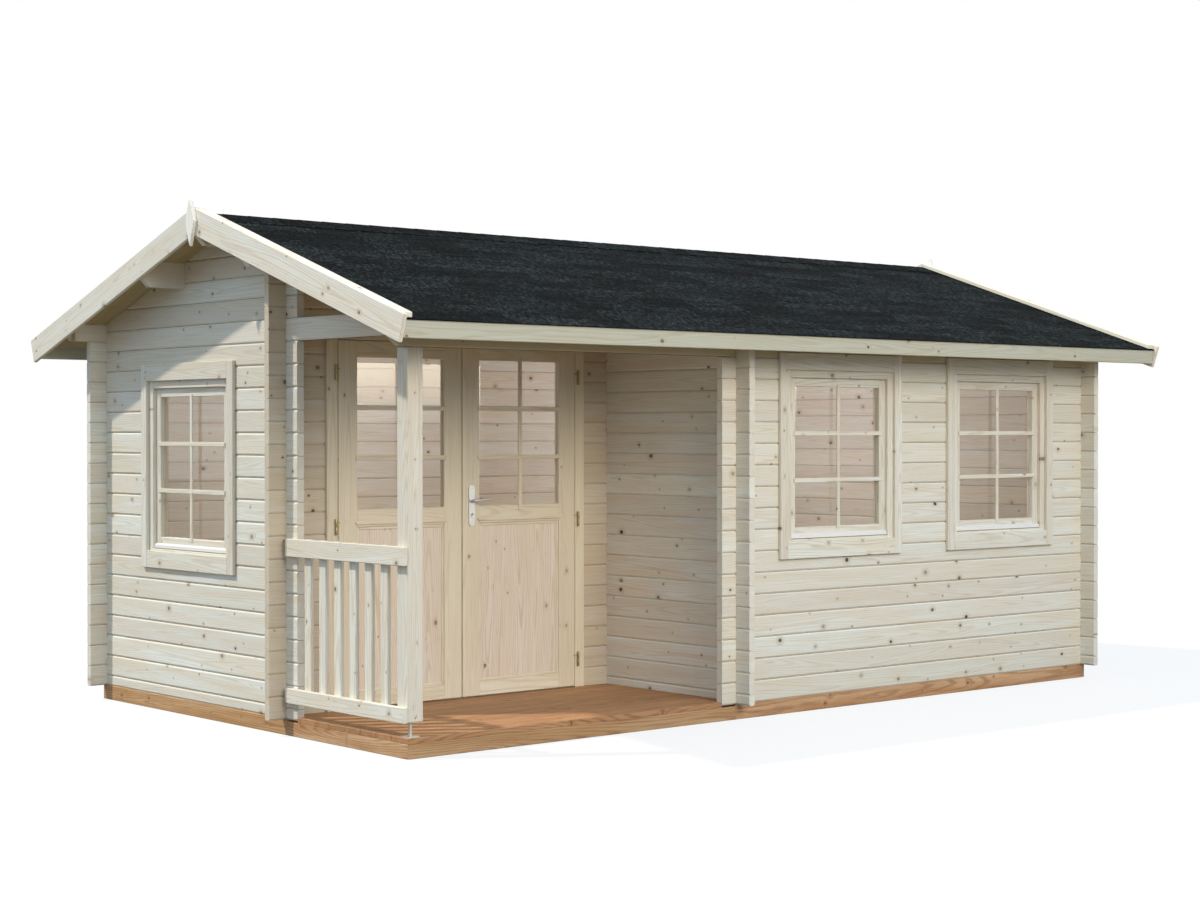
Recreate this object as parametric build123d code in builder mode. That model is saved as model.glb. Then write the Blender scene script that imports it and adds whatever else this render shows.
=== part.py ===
from build123d import *
import os
from math import ceil, cos, radians, sin, tan

os.makedirs("parts", exist_ok=True)

# Driving dimensions, in millimetres.
# X runs along the ridge, Y from the porch front to the rear wall, Z up from the ground.
# The origin is at the middle of the plan, on the ground.

# Log walls
wall_length = 5090
wall_width = 2970
log_thickness = 40
course_height = 114
log_end = 100
groove_height = 18
groove_depth = 6
porch_width = 2102
porch_depth = 1041
gable_rise_count = 5
stagger_share = 0.5
housing_share = 0.5
overrun = 200

# Base frame, deck and floor
sill_height = 80
sill_width = 70
porch_beam_height = 70
joist_width = 45
deck_thickness = 27
floor_thickness = 20
fitting_gap = 2
room_joist_shares = (0.2, 0.4, 0.6, 0.8)
rear_joist_shares = (0.33, 0.67)
porch_joist_shares = (0.3, 0.6)

# Roof
roof_pitch = 18.5
eave_purlin_height = 80
mid_purlin_height = 134
ridge_purlin_height = 140
rear_purlin_place = 560
purlin_chamfer = 45
eave_overhang = 300
verge_overhang = 250
roof_board = 18
covering = 6
covering_drip = 8
fascia_thickness = 20
fascia_height = 84
bargeboard_thickness = 20
bargeboard_depth = 132
bargeboard_run = 35
mitre_gap = 1
verge_cap_thickness = 24
verge_cap_width = 50
finial_thickness = 20
finial_height = 237
finial_width = 92
finial_tip = 14
finial_top = 36
finial_waist_share = 0.55

# Windows
front_window_places = (2901, 4267)
gable_window_place = 2009
window_width = 890
window_course_count = 9
window_top_count = 1
trim_thickness = 20
trim_side_lap = 40
trim_side = 60
trim_low_lap = 50
trim_high_lap = 32
trim_rail = 92
frame_depth = 70
frame_stile = 61
frame_head = 101
frame_sill = 54
sash_recess = 20
sash_thickness = 45
sash_stile = 49
sash_top = 47
sash_bottom = 63
glass_thickness = 4
glass_recess = 24

# Double door
door_offset = 24
leaf_width = 771
leaf_gap = 8
leaf_low = 104
leaf_height = 1870
leaf_thickness = 40
leaf_clearance = 6
leaf_stile = 112
leaf_bottom_rail = 77
leaf_panel_height = 843
leaf_mid_rail = 93
leaf_top_rail = 82
panel_recess = 8
jamb = 38
jamb_depth = 62
stop_width = 15
stop_clearance = 5
casing_thickness = 19
casing_lap = 27
leaf_proud = 20

# Hinges and handle
hinge_radius = 6.5
hinge_height = 80
hinge_split = 1
hinge_offset = 22
hinge_pin_radius = 3.5
hinge_pin_height = 24
hinge_play = 0.3
hinge_leaf_length = 34
hinge_leaf_height = 12
hinge_plate = 2.5
hinge_shares = (0.08, 0.495, 0.913)
hinge_side_count = 8
plate_width = 38
plate_height = 218
plate_thickness = 8
plate_low = 1010
lever_level = 1147
lever_backset = 56
lever_length = 125
lever_arm_height = 17
lever_arm_thickness = 11
lever_reach = 48
lever_neck_radius = 8
spindle_size = 6
spindle_bore_radius = 5
neck_play = 0.5

# Porch post and railing
post_size = 88
post_chamfer = 4
post_low = 168
foot_plate = 64
foot_plate_thickness = 5
foot_rod_radius = 8
rail_thickness = 28
top_rail_low = 893
top_rail_height = 89
bottom_rail_low = 166
bottom_rail_height = 75
rail_lap = 71
baluster_width = 58
baluster_thickness = 20
baluster_count = 6
baluster_margin = 193
baluster_pitch = 131
rail_chamfer = 3

# Places worked out from the driving dimensions
left = -wall_length / 2
right = wall_length / 2
front = -wall_width / 2
rear = wall_width / 2
right_wall = right - log_thickness
rear_inner = rear - log_thickness
porch_side = left + porch_width
porch_back = front + porch_depth
slope = tan(radians(roof_pitch))
steep = 1 / cos(radians(roof_pitch))
door_middle = left + porch_width / 2 + door_offset
door_left = door_middle - leaf_gap / 2 - leaf_width
door_right = door_middle + leaf_gap / 2 + leaf_width
clear_left = door_left - leaf_clearance
clear_right = door_right + leaf_clearance
opening_left = clear_left - jamb
opening_right = clear_right + jamb
clear_low = leaf_low - leaf_clearance
leaf_top = leaf_low + leaf_height
clear_high = leaf_top + leaf_clearance
opening_high = clear_high + jamb
# the eaves lie on the first course line at or over the door frame's head, less a groove's play
eave_course_count = ceil((opening_high - groove_height - sill_height) / course_height)
gable_course_count = eave_course_count + gable_rise_count
sill_course_count = eave_course_count - window_top_count - window_course_count
frame_back = porch_back + jamb_depth


def level(course):
    # height of a course line above the ground
    return sill_height + course * course_height


def x_courses(first, last):
    # course lines of a wall along X, which starts with a whole log
    return [level(n) for n in range(first, last + 1)]


def y_courses(first, last):
    # course lines of a wall along Y, which starts half a course lower
    return [level(n + stagger_share) for n in range(first, last + 1)]


ridge_under = level(eave_course_count) + eave_purlin_height + wall_width / 2 * slope
board_top = ridge_under + roof_board * steep
covering_top = board_top + covering * steep
cap_top = covering_top + verge_cap_thickness * steep


def below(height, y):
    # height of a roof plane that passes through the given height at the ridge
    return height - abs(y) * slope


eave_line = wall_width / 2 + eave_overhang
fascia_line = eave_line + fascia_thickness
verge_left = left - verge_overhang
verge_right = right + verge_overhang
front_purlin_bottom = below(ridge_under, porch_back + log_thickness) - mid_purlin_height
rear_purlin_bottom = below(ridge_under, rear_purlin_place) - mid_purlin_height
ridge_purlin_bottom = ridge_under - ridge_purlin_height
mid_purlins = (
    (porch_back, front_purlin_bottom),
    (-log_thickness / 2, ridge_purlin_bottom),
    (rear_purlin_place, rear_purlin_bottom),
)
deck_top = porch_beam_height + deck_thickness


def log_section(plane, side, joints):
    # section across a log wall, with a V groove along both faces at every joint
    flute = groove_height / 2
    outer = [(side + groove_depth, joints[0])]
    inner = [(side + log_thickness - groove_depth, joints[0])]
    for low, high in zip(joints, joints[1:]):
        outer += [(side, low + flute), (side, high - flute), (side + groove_depth, high)]
        far = side + log_thickness
        inner += [(far, low + flute), (far, high - flute), (far - groove_depth, high)]
    with BuildSketch(plane) as section:
        with BuildLine():
            Polyline(outer + inner[::-1], close=True)
        make_face()
    return section.sketch


def logs_along_x(x_from, x_to, y_side, joints):
    # a run of logs along X between two ends
    extrude(log_section(Plane.YZ.offset(x_from), y_side, joints), amount=x_to - x_from)


def logs_along_y(y_from, y_to, x_side, joints):
    # a run of logs along Y between two ends
    extrude(log_section(Plane.XZ.offset(-y_to), x_side, joints), amount=y_to - y_from)


def housings(x, y, joints):
    # halve each log between the given joints from below, over a log of the crossing wall
    with Locations(*[(x, y, low) for low in joints[:-1]]):
        Box(
            log_thickness,
            log_thickness,
            course_height * housing_share,
            align=(Align.MIN, Align.MIN, Align.MIN),
            mode=Mode.SUBTRACT,
        )


def timber(x_span, y_span, z_span, mode=Mode.ADD):
    # a squared timber between low and high bounds along X, Y and Z
    with Locations((x_span[0], y_span[0], z_span[0])):
        Box(
            x_span[1] - x_span[0],
            y_span[1] - y_span[0],
            z_span[1] - z_span[0],
            align=(Align.MIN, Align.MIN, Align.MIN),
            mode=mode,
        )


def trim_to_roof():
    # cut away what stands above the underside of the roof boards
    reach = wall_width / 2 + eave_overhang + overrun
    sky = ridge_under + overrun
    with BuildSketch(Plane.YZ.offset(verge_left - overrun)) as above:
        with BuildLine():
            Polyline(
                (-reach, below(ridge_under, reach)),
                (0, ridge_under),
                (reach, below(ridge_under, reach)),
                (reach, sky),
                (-reach, sky),
                close=True,
            )
        make_face()
    extrude(above.sketch, amount=verge_right - verge_left + 2 * overrun, mode=Mode.SUBTRACT)


def purlin_slots(x, purlins):
    # slots through a wall along Y, where the purlins pass
    for y, bottom in purlins:
        timber(
            (x, x + log_thickness),
            (y, y + log_thickness),
            (bottom, ridge_under + overrun),
            mode=Mode.SUBTRACT,
        )


# Base frame of squared beams
with BuildPart() as long_sills:
    timber((left, right), (rear - sill_width, rear), (0, sill_height))
    timber((porch_side, right), (front, front + sill_width), (0, sill_height))
    timber((left, porch_side), (porch_back, porch_back + sill_width), (0, sill_height))

with BuildPart() as porch_front_beam:
    timber((left, porch_side), (front, front + sill_width), (0, porch_beam_height))

room_inner = porch_side + sill_width
with BuildPart() as cross_beams:
    inner_front = front + sill_width
    inner_rear = rear - sill_width
    rear_room_front = porch_back + sill_width
    timber((left, left + sill_width), (rear_room_front, inner_rear), (0, sill_height))
    timber((right - sill_width, right), (inner_front, inner_rear), (0, sill_height))
    timber((porch_side, room_inner), (inner_front, rear_room_front), (0, sill_height))
    for share in room_joist_shares:
        x = room_inner + share * (right - sill_width - room_inner) - joist_width / 2
        timber((x, x + joist_width), (inner_front, inner_rear), (0, sill_height))
    for share in rear_joist_shares:
        x = left + share * porch_width - joist_width / 2
        timber((x, x + joist_width), (rear_room_front, inner_rear), (0, sill_height))
    timber((left, left + sill_width), (inner_front, porch_back), (0, porch_beam_height))
    for share in porch_joist_shares:
        x = left + share * porch_width - joist_width / 2
        timber((x, x + joist_width), (inner_front, porch_back), (0, porch_beam_height))

# Porch deck, cut out round the log ends that reach down past it
with BuildPart() as porch_deck:
    deck_span = (porch_beam_height, deck_top)
    timber((left, porch_side), (front, porch_back), deck_span)
    timber(
        (left, left + log_thickness + fitting_gap),
        (porch_back - log_end - fitting_gap, porch_back),
        deck_span,
        mode=Mode.SUBTRACT,
    )
    timber(
        (porch_side - log_end - fitting_gap, porch_side),
        (front, front + log_thickness + fitting_gap),
        deck_span,
        mode=Mode.SUBTRACT,
    )

# Room floor in two fields, cut out round the log ends of the inner corner
floor_split = porch_side + log_thickness
floor_span = (sill_height, sill_height + floor_thickness)
with BuildPart() as room_floor_main:
    timber((floor_split, right_wall), (front + log_thickness, rear_inner), floor_span)
    timber(
        (floor_split, floor_split + log_end + fitting_gap),
        (porch_back - fitting_gap, porch_back + log_thickness + fitting_gap),
        floor_span,
        mode=Mode.SUBTRACT,
    )

with BuildPart() as room_floor_rear:
    timber((left + log_thickness, floor_split), (porch_back + log_thickness, rear_inner), floor_span)
    timber(
        (porch_side - fitting_gap, floor_split),
        (porch_back + log_thickness, porch_back + log_thickness + log_end + fitting_gap),
        floor_span,
        mode=Mode.SUBTRACT,
    )
    timber(
        (opening_left - fitting_gap, opening_right + fitting_gap),
        (porch_back + log_thickness, frame_back),
        floor_span,
        mode=Mode.SUBTRACT,
    )

# Log walls, halved into each other where they cross
with BuildPart() as rear_wall:
    logs_along_x(left - log_end, right + log_end, rear_inner, x_courses(0, eave_course_count))
    housings(left, rear_inner, x_courses(0, eave_course_count))
    housings(right_wall, rear_inner, x_courses(0, eave_course_count))

window_top_course = sill_course_count + window_course_count
with BuildPart() as front_wall_lower:
    lines = x_courses(0, sill_course_count)
    logs_along_x(porch_side - log_end, right + log_end, front, lines)
    housings(porch_side, front, lines)
    housings(right_wall, front, lines)

with BuildPart() as front_wall_piers:
    lines = x_courses(sill_course_count, window_top_course)
    pier_from = porch_side - log_end
    for place in front_window_places:
        window_from = left + place - window_width / 2
        logs_along_x(pier_from, window_from, front, lines)
        pier_from = window_from + window_width
    logs_along_x(pier_from, right + log_end, front, lines)
    housings(porch_side, front, lines)
    housings(right_wall, front, lines)

with BuildPart() as front_top_log:
    lines = x_courses(window_top_course, eave_course_count)
    logs_along_x(left - log_end, right + log_end, front, lines)
    foot = front_top_log.edges().filter_by(Axis.Y).group_by(Axis.Z)[0].sort_by(Axis.X)[0]
    chamfer(foot, length=course_height * stagger_share)
    housings(porch_side, front, lines)
    housings(right_wall, front, lines)

wall_lines = [level(0)] + y_courses(0, eave_course_count)
gable_lines = y_courses(eave_course_count, gable_course_count)
with BuildPart() as right_gable_wall:
    logs_along_y(front - log_end, rear + log_end, right_wall, wall_lines)
    logs_along_y(front + log_thickness, rear_inner, right_wall, gable_lines)
    trim_to_roof()
    housings(right_wall, front, y_courses(0, eave_course_count))
    housings(right_wall, rear_inner, y_courses(0, eave_course_count))
    purlin_slots(right_wall, mid_purlins)

gable_window_from = front + gable_window_place - window_width / 2
gable_window_low = sill_course_count - 1
gable_window_high = gable_window_low + window_course_count
gable_front = porch_back - log_end
with BuildPart() as left_gable_lower:
    lines = y_courses(0, gable_window_low)
    logs_along_y(gable_front, rear + log_end, left, [level(0)] + lines)
    housings(left, porch_back, lines)
    housings(left, rear_inner, lines)

with BuildPart() as left_gable_piers:
    lines = y_courses(gable_window_low, gable_window_high)
    logs_along_y(gable_front, gable_window_from, left, lines)
    logs_along_y(gable_window_from + window_width, rear + log_end, left, lines)
    housings(left, porch_back, lines)
    housings(left, rear_inner, lines)

with BuildPart() as left_gable_head:
    lines = y_courses(gable_window_high, eave_course_count - 1)
    logs_along_y(gable_front, rear + log_end, left, lines)
    housings(left, porch_back, lines)
    housings(left, rear_inner, lines)

with BuildPart() as left_tie_log:
    lines = y_courses(eave_course_count - 1, eave_course_count)
    logs_along_y(front - log_end, rear + log_end, left, lines)
    trim_to_roof()
    housings(left, front, lines)
    housings(left, porch_back, lines)
    housings(left, rear_inner, lines)

with BuildPart() as left_gable_top:
    logs_along_y(gable_front, rear_inner, left, gable_lines)
    trim_to_roof()
    housings(left, porch_back, gable_lines)
    purlin_slots(left, mid_purlins)

with BuildPart() as porch_side_wall:
    side_end = porch_back + log_thickness + log_end
    logs_along_y(front - log_end, side_end, porch_side, wall_lines)
    logs_along_y(front + log_thickness, side_end, porch_side, gable_lines)
    trim_to_roof()
    housings(porch_side, front, y_courses(0, eave_course_count))
    housings(porch_side, porch_back, y_courses(0, gable_course_count))
    purlin_slots(porch_side, mid_purlins[:1])

back_wall_end = porch_side + log_thickness + log_end


def doorway():
    # cut the door's opening out of the porch's back wall
    timber(
        (opening_left, opening_right),
        (porch_back, porch_back + log_thickness),
        (sill_height, opening_high),
        mode=Mode.SUBTRACT,
    )


with BuildPart() as porch_back_wall_sides:
    lines = x_courses(0, eave_course_count)
    logs_along_x(left - log_end, back_wall_end, porch_back, lines)
    doorway()
    housings(left, porch_back, lines)
    housings(porch_side, porch_back, lines)

with BuildPart() as porch_back_wall_head:
    courses = x_courses(eave_course_count, gable_course_count)
    lines = [line for line in courses if line < front_purlin_bottom]
    lines.append(front_purlin_bottom)
    logs_along_x(left - log_end, back_wall_end, porch_back, lines)
    doorway()
    housings(left, porch_back, lines)
    housings(porch_side, porch_back, lines)

# Purlins with chamfered ends, bevelled to the roof pitch
with BuildPart() as purlins:
    eave_bottom = level(eave_course_count)
    runs = ((front, eave_bottom), *mid_purlins, (rear_inner, eave_bottom))
    for y, bottom in runs:
        with BuildSketch(Plane.XZ.offset(-(y + log_thickness))):
            with BuildLine():
                Polyline(
                    (verge_left, ridge_under),
                    (verge_left, bottom + purlin_chamfer),
                    (verge_left + purlin_chamfer, bottom),
                    (verge_right - purlin_chamfer, bottom),
                    (verge_right, bottom + purlin_chamfer),
                    (verge_right, ridge_under),
                    close=True,
                )
            make_face()
        extrude(amount=log_thickness)
    trim_to_roof()
    for x, y in (
        (left, front),
        (porch_side, front),
        (right_wall, front),
        (left, rear_inner),
        (right_wall, rear_inner),
    ):
        housings(x, y, (eave_bottom, ridge_under))


def roof_slab(side, ridge_low, ridge_high, reach):
    # one slope of a roof layer, between two planes given by their heights at the ridge
    with BuildSketch(Plane.YZ.offset(verge_left)) as section:
        with BuildLine():
            Polyline(
                (0, ridge_low),
                (side * reach, below(ridge_low, reach)),
                (side * reach, below(ridge_high, reach)),
                (0, ridge_high),
                close=True,
            )
        make_face()
    extrude(section.sketch, amount=verge_right - verge_left)


with BuildPart() as roof_boards_front:
    roof_slab(-1, ridge_under, board_top, eave_line)

with BuildPart() as roof_boards_rear:
    roof_slab(1, ridge_under, board_top, eave_line)

with BuildPart() as roof_covering_front:
    roof_slab(-1, board_top, covering_top, fascia_line + covering_drip)

with BuildPart() as roof_covering_rear:
    roof_slab(1, board_top, covering_top, fascia_line + covering_drip)

# Fascia boards under the covering's lower edges
with BuildPart() as eave_fascias:
    fascia_low = below(board_top, fascia_line) - fascia_height
    for side in (-1, 1):
        with BuildSketch(Plane.YZ.offset(verge_left)):
            with BuildLine():
                Polyline(
                    (side * eave_line, fascia_low),
                    (side * fascia_line, fascia_low),
                    (side * fascia_line, below(board_top, fascia_line)),
                    (side * eave_line, below(board_top, eave_line)),
                    close=True,
                )
            make_face()
        extrude(amount=verge_right - verge_left)


def bargeboard_pair(x):
    # the two boards of one gable, cut square at the eaves and mitred at the ridge
    drop = bargeboard_depth * steep
    top_end = fascia_line + bargeboard_run
    low_end = top_end - bargeboard_depth * sin(radians(roof_pitch))
    mitre = mitre_gap / 2
    for side in (-1, 1):
        with BuildSketch(Plane.YZ.offset(x)) as board:
            with BuildLine():
                Polyline(
                    (side * mitre, below(cap_top, mitre)),
                    (side * top_end, below(cap_top, top_end)),
                    (side * low_end, below(cap_top - drop, low_end)),
                    (side * mitre, below(cap_top - drop, mitre)),
                    close=True,
                )
            make_face()
        extrude(board.sketch, amount=bargeboard_thickness)


with BuildPart() as left_bargeboards:
    bargeboard_pair(verge_left - bargeboard_thickness)

with BuildPart() as right_bargeboards:
    bargeboard_pair(verge_right)


def verge_cap(x):
    # folded cap strip over the covering's edge, beside the bargeboards
    with BuildSketch(Plane.YZ.offset(x)) as section:
        with BuildLine():
            Polyline(
                (0, cap_top),
                (fascia_line, below(cap_top, fascia_line)),
                (fascia_line, below(covering_top, fascia_line)),
                (0, covering_top),
                (-fascia_line, below(covering_top, fascia_line)),
                (-fascia_line, below(cap_top, fascia_line)),
                close=True,
            )
        make_face()
    extrude(section.sketch, amount=verge_cap_width)


with BuildPart() as left_verge_cap:
    verge_cap(verge_left)

with BuildPart() as right_verge_cap:
    verge_cap(verge_right - verge_cap_width)

# Pointed boards over the bargeboards' mitres
with BuildPart() as finials:
    finial_peak = cap_top + finial_top
    finial_waist = finial_peak - finial_height * (1 - finial_waist_share)
    finial_low = finial_peak - finial_height
    outer = bargeboard_thickness + finial_thickness
    for x in (verge_left - outer, verge_right + bargeboard_thickness):
        with BuildSketch(Plane.YZ.offset(x)):
            with BuildLine():
                Polyline(
                    (finial_tip / 2, finial_peak),
                    (finial_width / 2, finial_waist),
                    (0, finial_low),
                    (-finial_width / 2, finial_waist),
                    (-finial_tip / 2, finial_peak),
                    close=True,
                )
            make_face()
        extrude(amount=finial_thickness)

# Porch post on its adjustable foot
with BuildPart() as porch_post:
    timber((left, left + post_size), (front, front + post_size), (post_low, level(window_top_course)))
    chamfer(porch_post.edges().filter_by(Axis.Z), length=post_chamfer)

with BuildPart() as post_foot:
    post_middle = (left + post_size / 2, front + post_size / 2)
    with BuildSketch(Plane.XY.offset(deck_top)):
        with Locations(post_middle):
            Rectangle(foot_plate, foot_plate)
    extrude(amount=foot_plate_thickness)
    with BuildSketch(Plane.XY.offset(deck_top + foot_plate_thickness)):
        with Locations(post_middle):
            Circle(foot_rod_radius)
    extrude(amount=post_low - deck_top - foot_plate_thickness)

# Railing panel across the porch's open end
with BuildPart() as porch_railing:
    rail_far = gable_front + rail_lap
    rail_span = (left - rail_thickness, left)
    for low, height in ((top_rail_low, top_rail_height), (bottom_rail_low, bottom_rail_height)):
        timber(rail_span, (front, rail_far), (low, low + height))
    chamfer(porch_railing.edges().filter_by(Axis.Y), length=rail_chamfer)
    for n in range(baluster_count):
        y = front + baluster_margin + n * baluster_pitch - baluster_width / 2
        timber(
            (left, left + baluster_thickness),
            (y, y + baluster_width),
            (bottom_rail_low, top_rail_low + top_rail_height),
        )

# Windows: a frame with outside trim, a sash and a pane in each opening
front_window_sill = level(sill_course_count)
gable_window_sill = level(gable_window_low + stagger_share)
gable_window_middle = front + gable_window_place
window_planes = [
    Plane(origin=(left + place, front, front_window_sill), x_dir=(1, 0, 0), z_dir=(0, -1, 0))
    for place in front_window_places
]
window_planes.append(
    Plane(origin=(left, gable_window_middle, gable_window_sill), x_dir=(0, -1, 0), z_dir=(-1, 0, 0))
)
window_height = window_course_count * course_height
sash_width = window_width - 2 * frame_stile
pane_width = sash_width - 2 * sash_stile
pane_low = frame_sill + sash_bottom
pane_high = window_height - frame_head - sash_top


def window_ring(plane, outside, inside):
    # flat ring between two rectangles, each given as width, low edge and high edge
    with BuildSketch(plane) as ring:
        for (width, low, high), mode in ((outside, Mode.ADD), (inside, Mode.SUBTRACT)):
            with Locations((0, low)):
                Rectangle(width, high - low, align=(Align.CENTER, Align.MIN), mode=mode)
    return ring.sketch


with BuildPart() as window_frames:
    opening = (window_width, 0, window_height)
    trim_width = window_width + 2 * trim_side_lap
    trim_outside = (trim_width, -trim_low_lap, window_height + trim_high_lap)
    trim_inside = (
        trim_width - 2 * trim_side,
        trim_rail - trim_low_lap,
        window_height + trim_high_lap - trim_rail,
    )
    sash_opening = (sash_width, frame_sill, window_height - frame_head)
    for plane in window_planes:
        extrude(window_ring(plane, trim_outside, trim_inside), amount=trim_thickness)
        extrude(window_ring(plane, opening, sash_opening), amount=-frame_depth)

pane_opening = (pane_width, pane_low, pane_high)
with BuildPart() as window_sashes:
    for plane in window_planes:
        sash_front = plane.offset(-sash_recess)
        extrude(window_ring(sash_front, sash_opening, pane_opening), amount=-sash_thickness)

with BuildPart() as window_glass:
    for plane in window_planes:
        with BuildSketch(plane.offset(-sash_recess - glass_recess)):
            with Locations((0, pane_low)):
                Rectangle(pane_width, pane_high - pane_low, align=(Align.CENTER, Align.MIN))
        extrude(amount=-glass_thickness)

# Door frame: jambs, head, threshold and stops in the opening, with casing outside
leaf_front = porch_back - leaf_proud
stop_front = leaf_front + leaf_thickness + stop_clearance
with BuildPart() as door_frame:
    timber((opening_left, opening_right), (porch_back, frame_back), (sill_height, opening_high))
    timber(
        (opening_left - casing_lap, opening_right + casing_lap),
        (porch_back - casing_thickness, porch_back),
        (deck_top, opening_high + casing_lap),
    )
    timber(
        (clear_left, clear_right),
        (porch_back - casing_thickness, stop_front),
        (clear_low, clear_high),
        mode=Mode.SUBTRACT,
    )
    timber(
        (clear_left + stop_width, clear_right - stop_width),
        (stop_front, frame_back),
        (clear_low, clear_high - stop_width),
        mode=Mode.SUBTRACT,
    )

pane_door_low = leaf_low + leaf_bottom_rail + leaf_panel_height + leaf_mid_rail
pane_door_high = leaf_top - leaf_top_rail
leaf_back = leaf_front + leaf_thickness
pane_door_front = leaf_front + leaf_thickness / 2 - glass_thickness / 2


def door_leaf(x):
    # a framed leaf with a pane opening above and a recessed panel below
    timber((x, x + leaf_width), (leaf_front, leaf_back), (leaf_low, leaf_top))
    field = (x + leaf_stile, x + leaf_width - leaf_stile)
    panel = (leaf_low + leaf_bottom_rail, leaf_low + leaf_bottom_rail + leaf_panel_height)
    timber(field, (leaf_front, leaf_back), (pane_door_low, pane_door_high), mode=Mode.SUBTRACT)
    timber(field, (leaf_front, leaf_front + panel_recess), panel, mode=Mode.SUBTRACT)
    timber(field, (leaf_back - panel_recess, leaf_back), panel, mode=Mode.SUBTRACT)


def door_pane(x):
    # the glass in a leaf's upper opening
    timber(
        (x + leaf_stile, x + leaf_width - leaf_stile),
        (pane_door_front, pane_door_front + glass_thickness),
        (pane_door_low, pane_door_high),
    )


right_leaf_from = door_left + leaf_width + leaf_gap
lever_x = right_leaf_from + lever_backset
lever_plane = Plane(origin=(lever_x, 0, lever_level), x_dir=(1, 0, 0), z_dir=(0, -1, 0))


def lever_disc(y_from, y_to, radius, mode=Mode.ADD):
    # a round solid about the lever's axis between two distances along Y
    with BuildSketch(lever_plane.offset(-y_to)) as disc:
        Circle(radius)
    extrude(disc.sketch, amount=y_to - y_from, mode=mode)


with BuildPart() as left_door_leaf:
    door_leaf(door_left)

with BuildPart() as right_door_leaf:
    door_leaf(right_leaf_from)
    lever_disc(leaf_front, leaf_back, spindle_bore_radius, mode=Mode.SUBTRACT)

with BuildPart() as left_door_glass:
    door_pane(door_left)

with BuildPart() as right_door_glass:
    door_pane(right_leaf_from)

# Barrel hinges: the pin half is fixed to the casing, the cap half to the leaf
hinge_y = leaf_front - hinge_radius
hinge_levels = [leaf_low + share * leaf_height for share in hinge_shares]
casing_front = porch_back - casing_thickness
half_barrel = (hinge_height - hinge_split) / 2


def hinge_barrel(x, z_from, z_to, radius, mode=Mode.ADD):
    # a many-sided solid on a hinge's axis: a pin keeps inside its radius, a bore outside it
    with BuildSketch(Plane.XY.offset(z_from)) as disc:
        with Locations((x, hinge_y)):
            RegularPolygon(radius, hinge_side_count, major_radius=mode == Mode.ADD)
    extrude(disc.sketch, amount=z_to - z_from, mode=mode)


def hinge_flap(x, side, seat, z_middle):
    # the flat flap from a hinge's barrel to its seat on the wood
    tip = x + side * hinge_leaf_length
    half = hinge_leaf_height / 2
    timber((min(x, tip), max(x, tip)), (seat - hinge_plate, seat), (z_middle - half, z_middle + half))


hinge_axes = ((door_left - hinge_offset, 1), (door_right + hinge_offset, -1))
with BuildPart() as hinge_frame_halves:
    for x, side in hinge_axes:
        for z in hinge_levels:
            low = z - hinge_height / 2
            hinge_barrel(x, low, low + half_barrel, hinge_radius)
            hinge_barrel(x, low + half_barrel, low + half_barrel + hinge_pin_height, hinge_pin_radius)
            hinge_flap(x, -side, casing_front, low + half_barrel / 2)


def hinge_leaf_half(x, side):
    # the halves that ride on one leaf
    for z in hinge_levels:
        low = z + hinge_height / 2 - half_barrel
        hinge_barrel(x, low, low + half_barrel, hinge_radius)
        hinge_flap(x, side, leaf_front, low + half_barrel / 2)
        bore_top = low + hinge_pin_height
        hinge_barrel(x, low, bore_top, hinge_pin_radius + hinge_play, mode=Mode.SUBTRACT)


with BuildPart() as left_hinge_halves:
    hinge_leaf_half(*hinge_axes[0])

with BuildPart() as right_hinge_halves:
    hinge_leaf_half(*hinge_axes[1])

# Lever handle on its long plates, outside and inside, on one spindle
with BuildPart() as handle_plates:
    for seat in (leaf_front, leaf_back + plate_thickness):
        with BuildSketch(Plane.XZ.offset(-seat)):
            with Locations((lever_x, plate_low + plate_height / 2)):
                SlotOverall(plate_height, plate_width, rotation=90)
        extrude(amount=plate_thickness)
    lever_disc(
        leaf_front - plate_thickness,
        leaf_back + plate_thickness,
        lever_neck_radius + neck_play,
        mode=Mode.SUBTRACT,
    )

with BuildPart() as lever_handle:
    outside = leaf_front - lever_reach
    inside = leaf_back + lever_reach
    half = spindle_size / 2
    timber(
        (lever_x - half, lever_x + half),
        (leaf_front, leaf_back),
        (lever_level - half, lever_level + half),
    )
    lever_disc(outside, leaf_front, lever_neck_radius)
    lever_disc(leaf_back, inside, lever_neck_radius)
    for y in (outside, inside - lever_arm_thickness):
        with BuildSketch(Plane.XZ.offset(-(y + lever_arm_thickness))):
            with Locations((lever_x - lever_arm_height / 2, lever_level)):
                SlotOverall(lever_length, lever_arm_height, align=(Align.MIN, Align.CENTER))
        extrude(amount=lever_arm_thickness)

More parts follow.
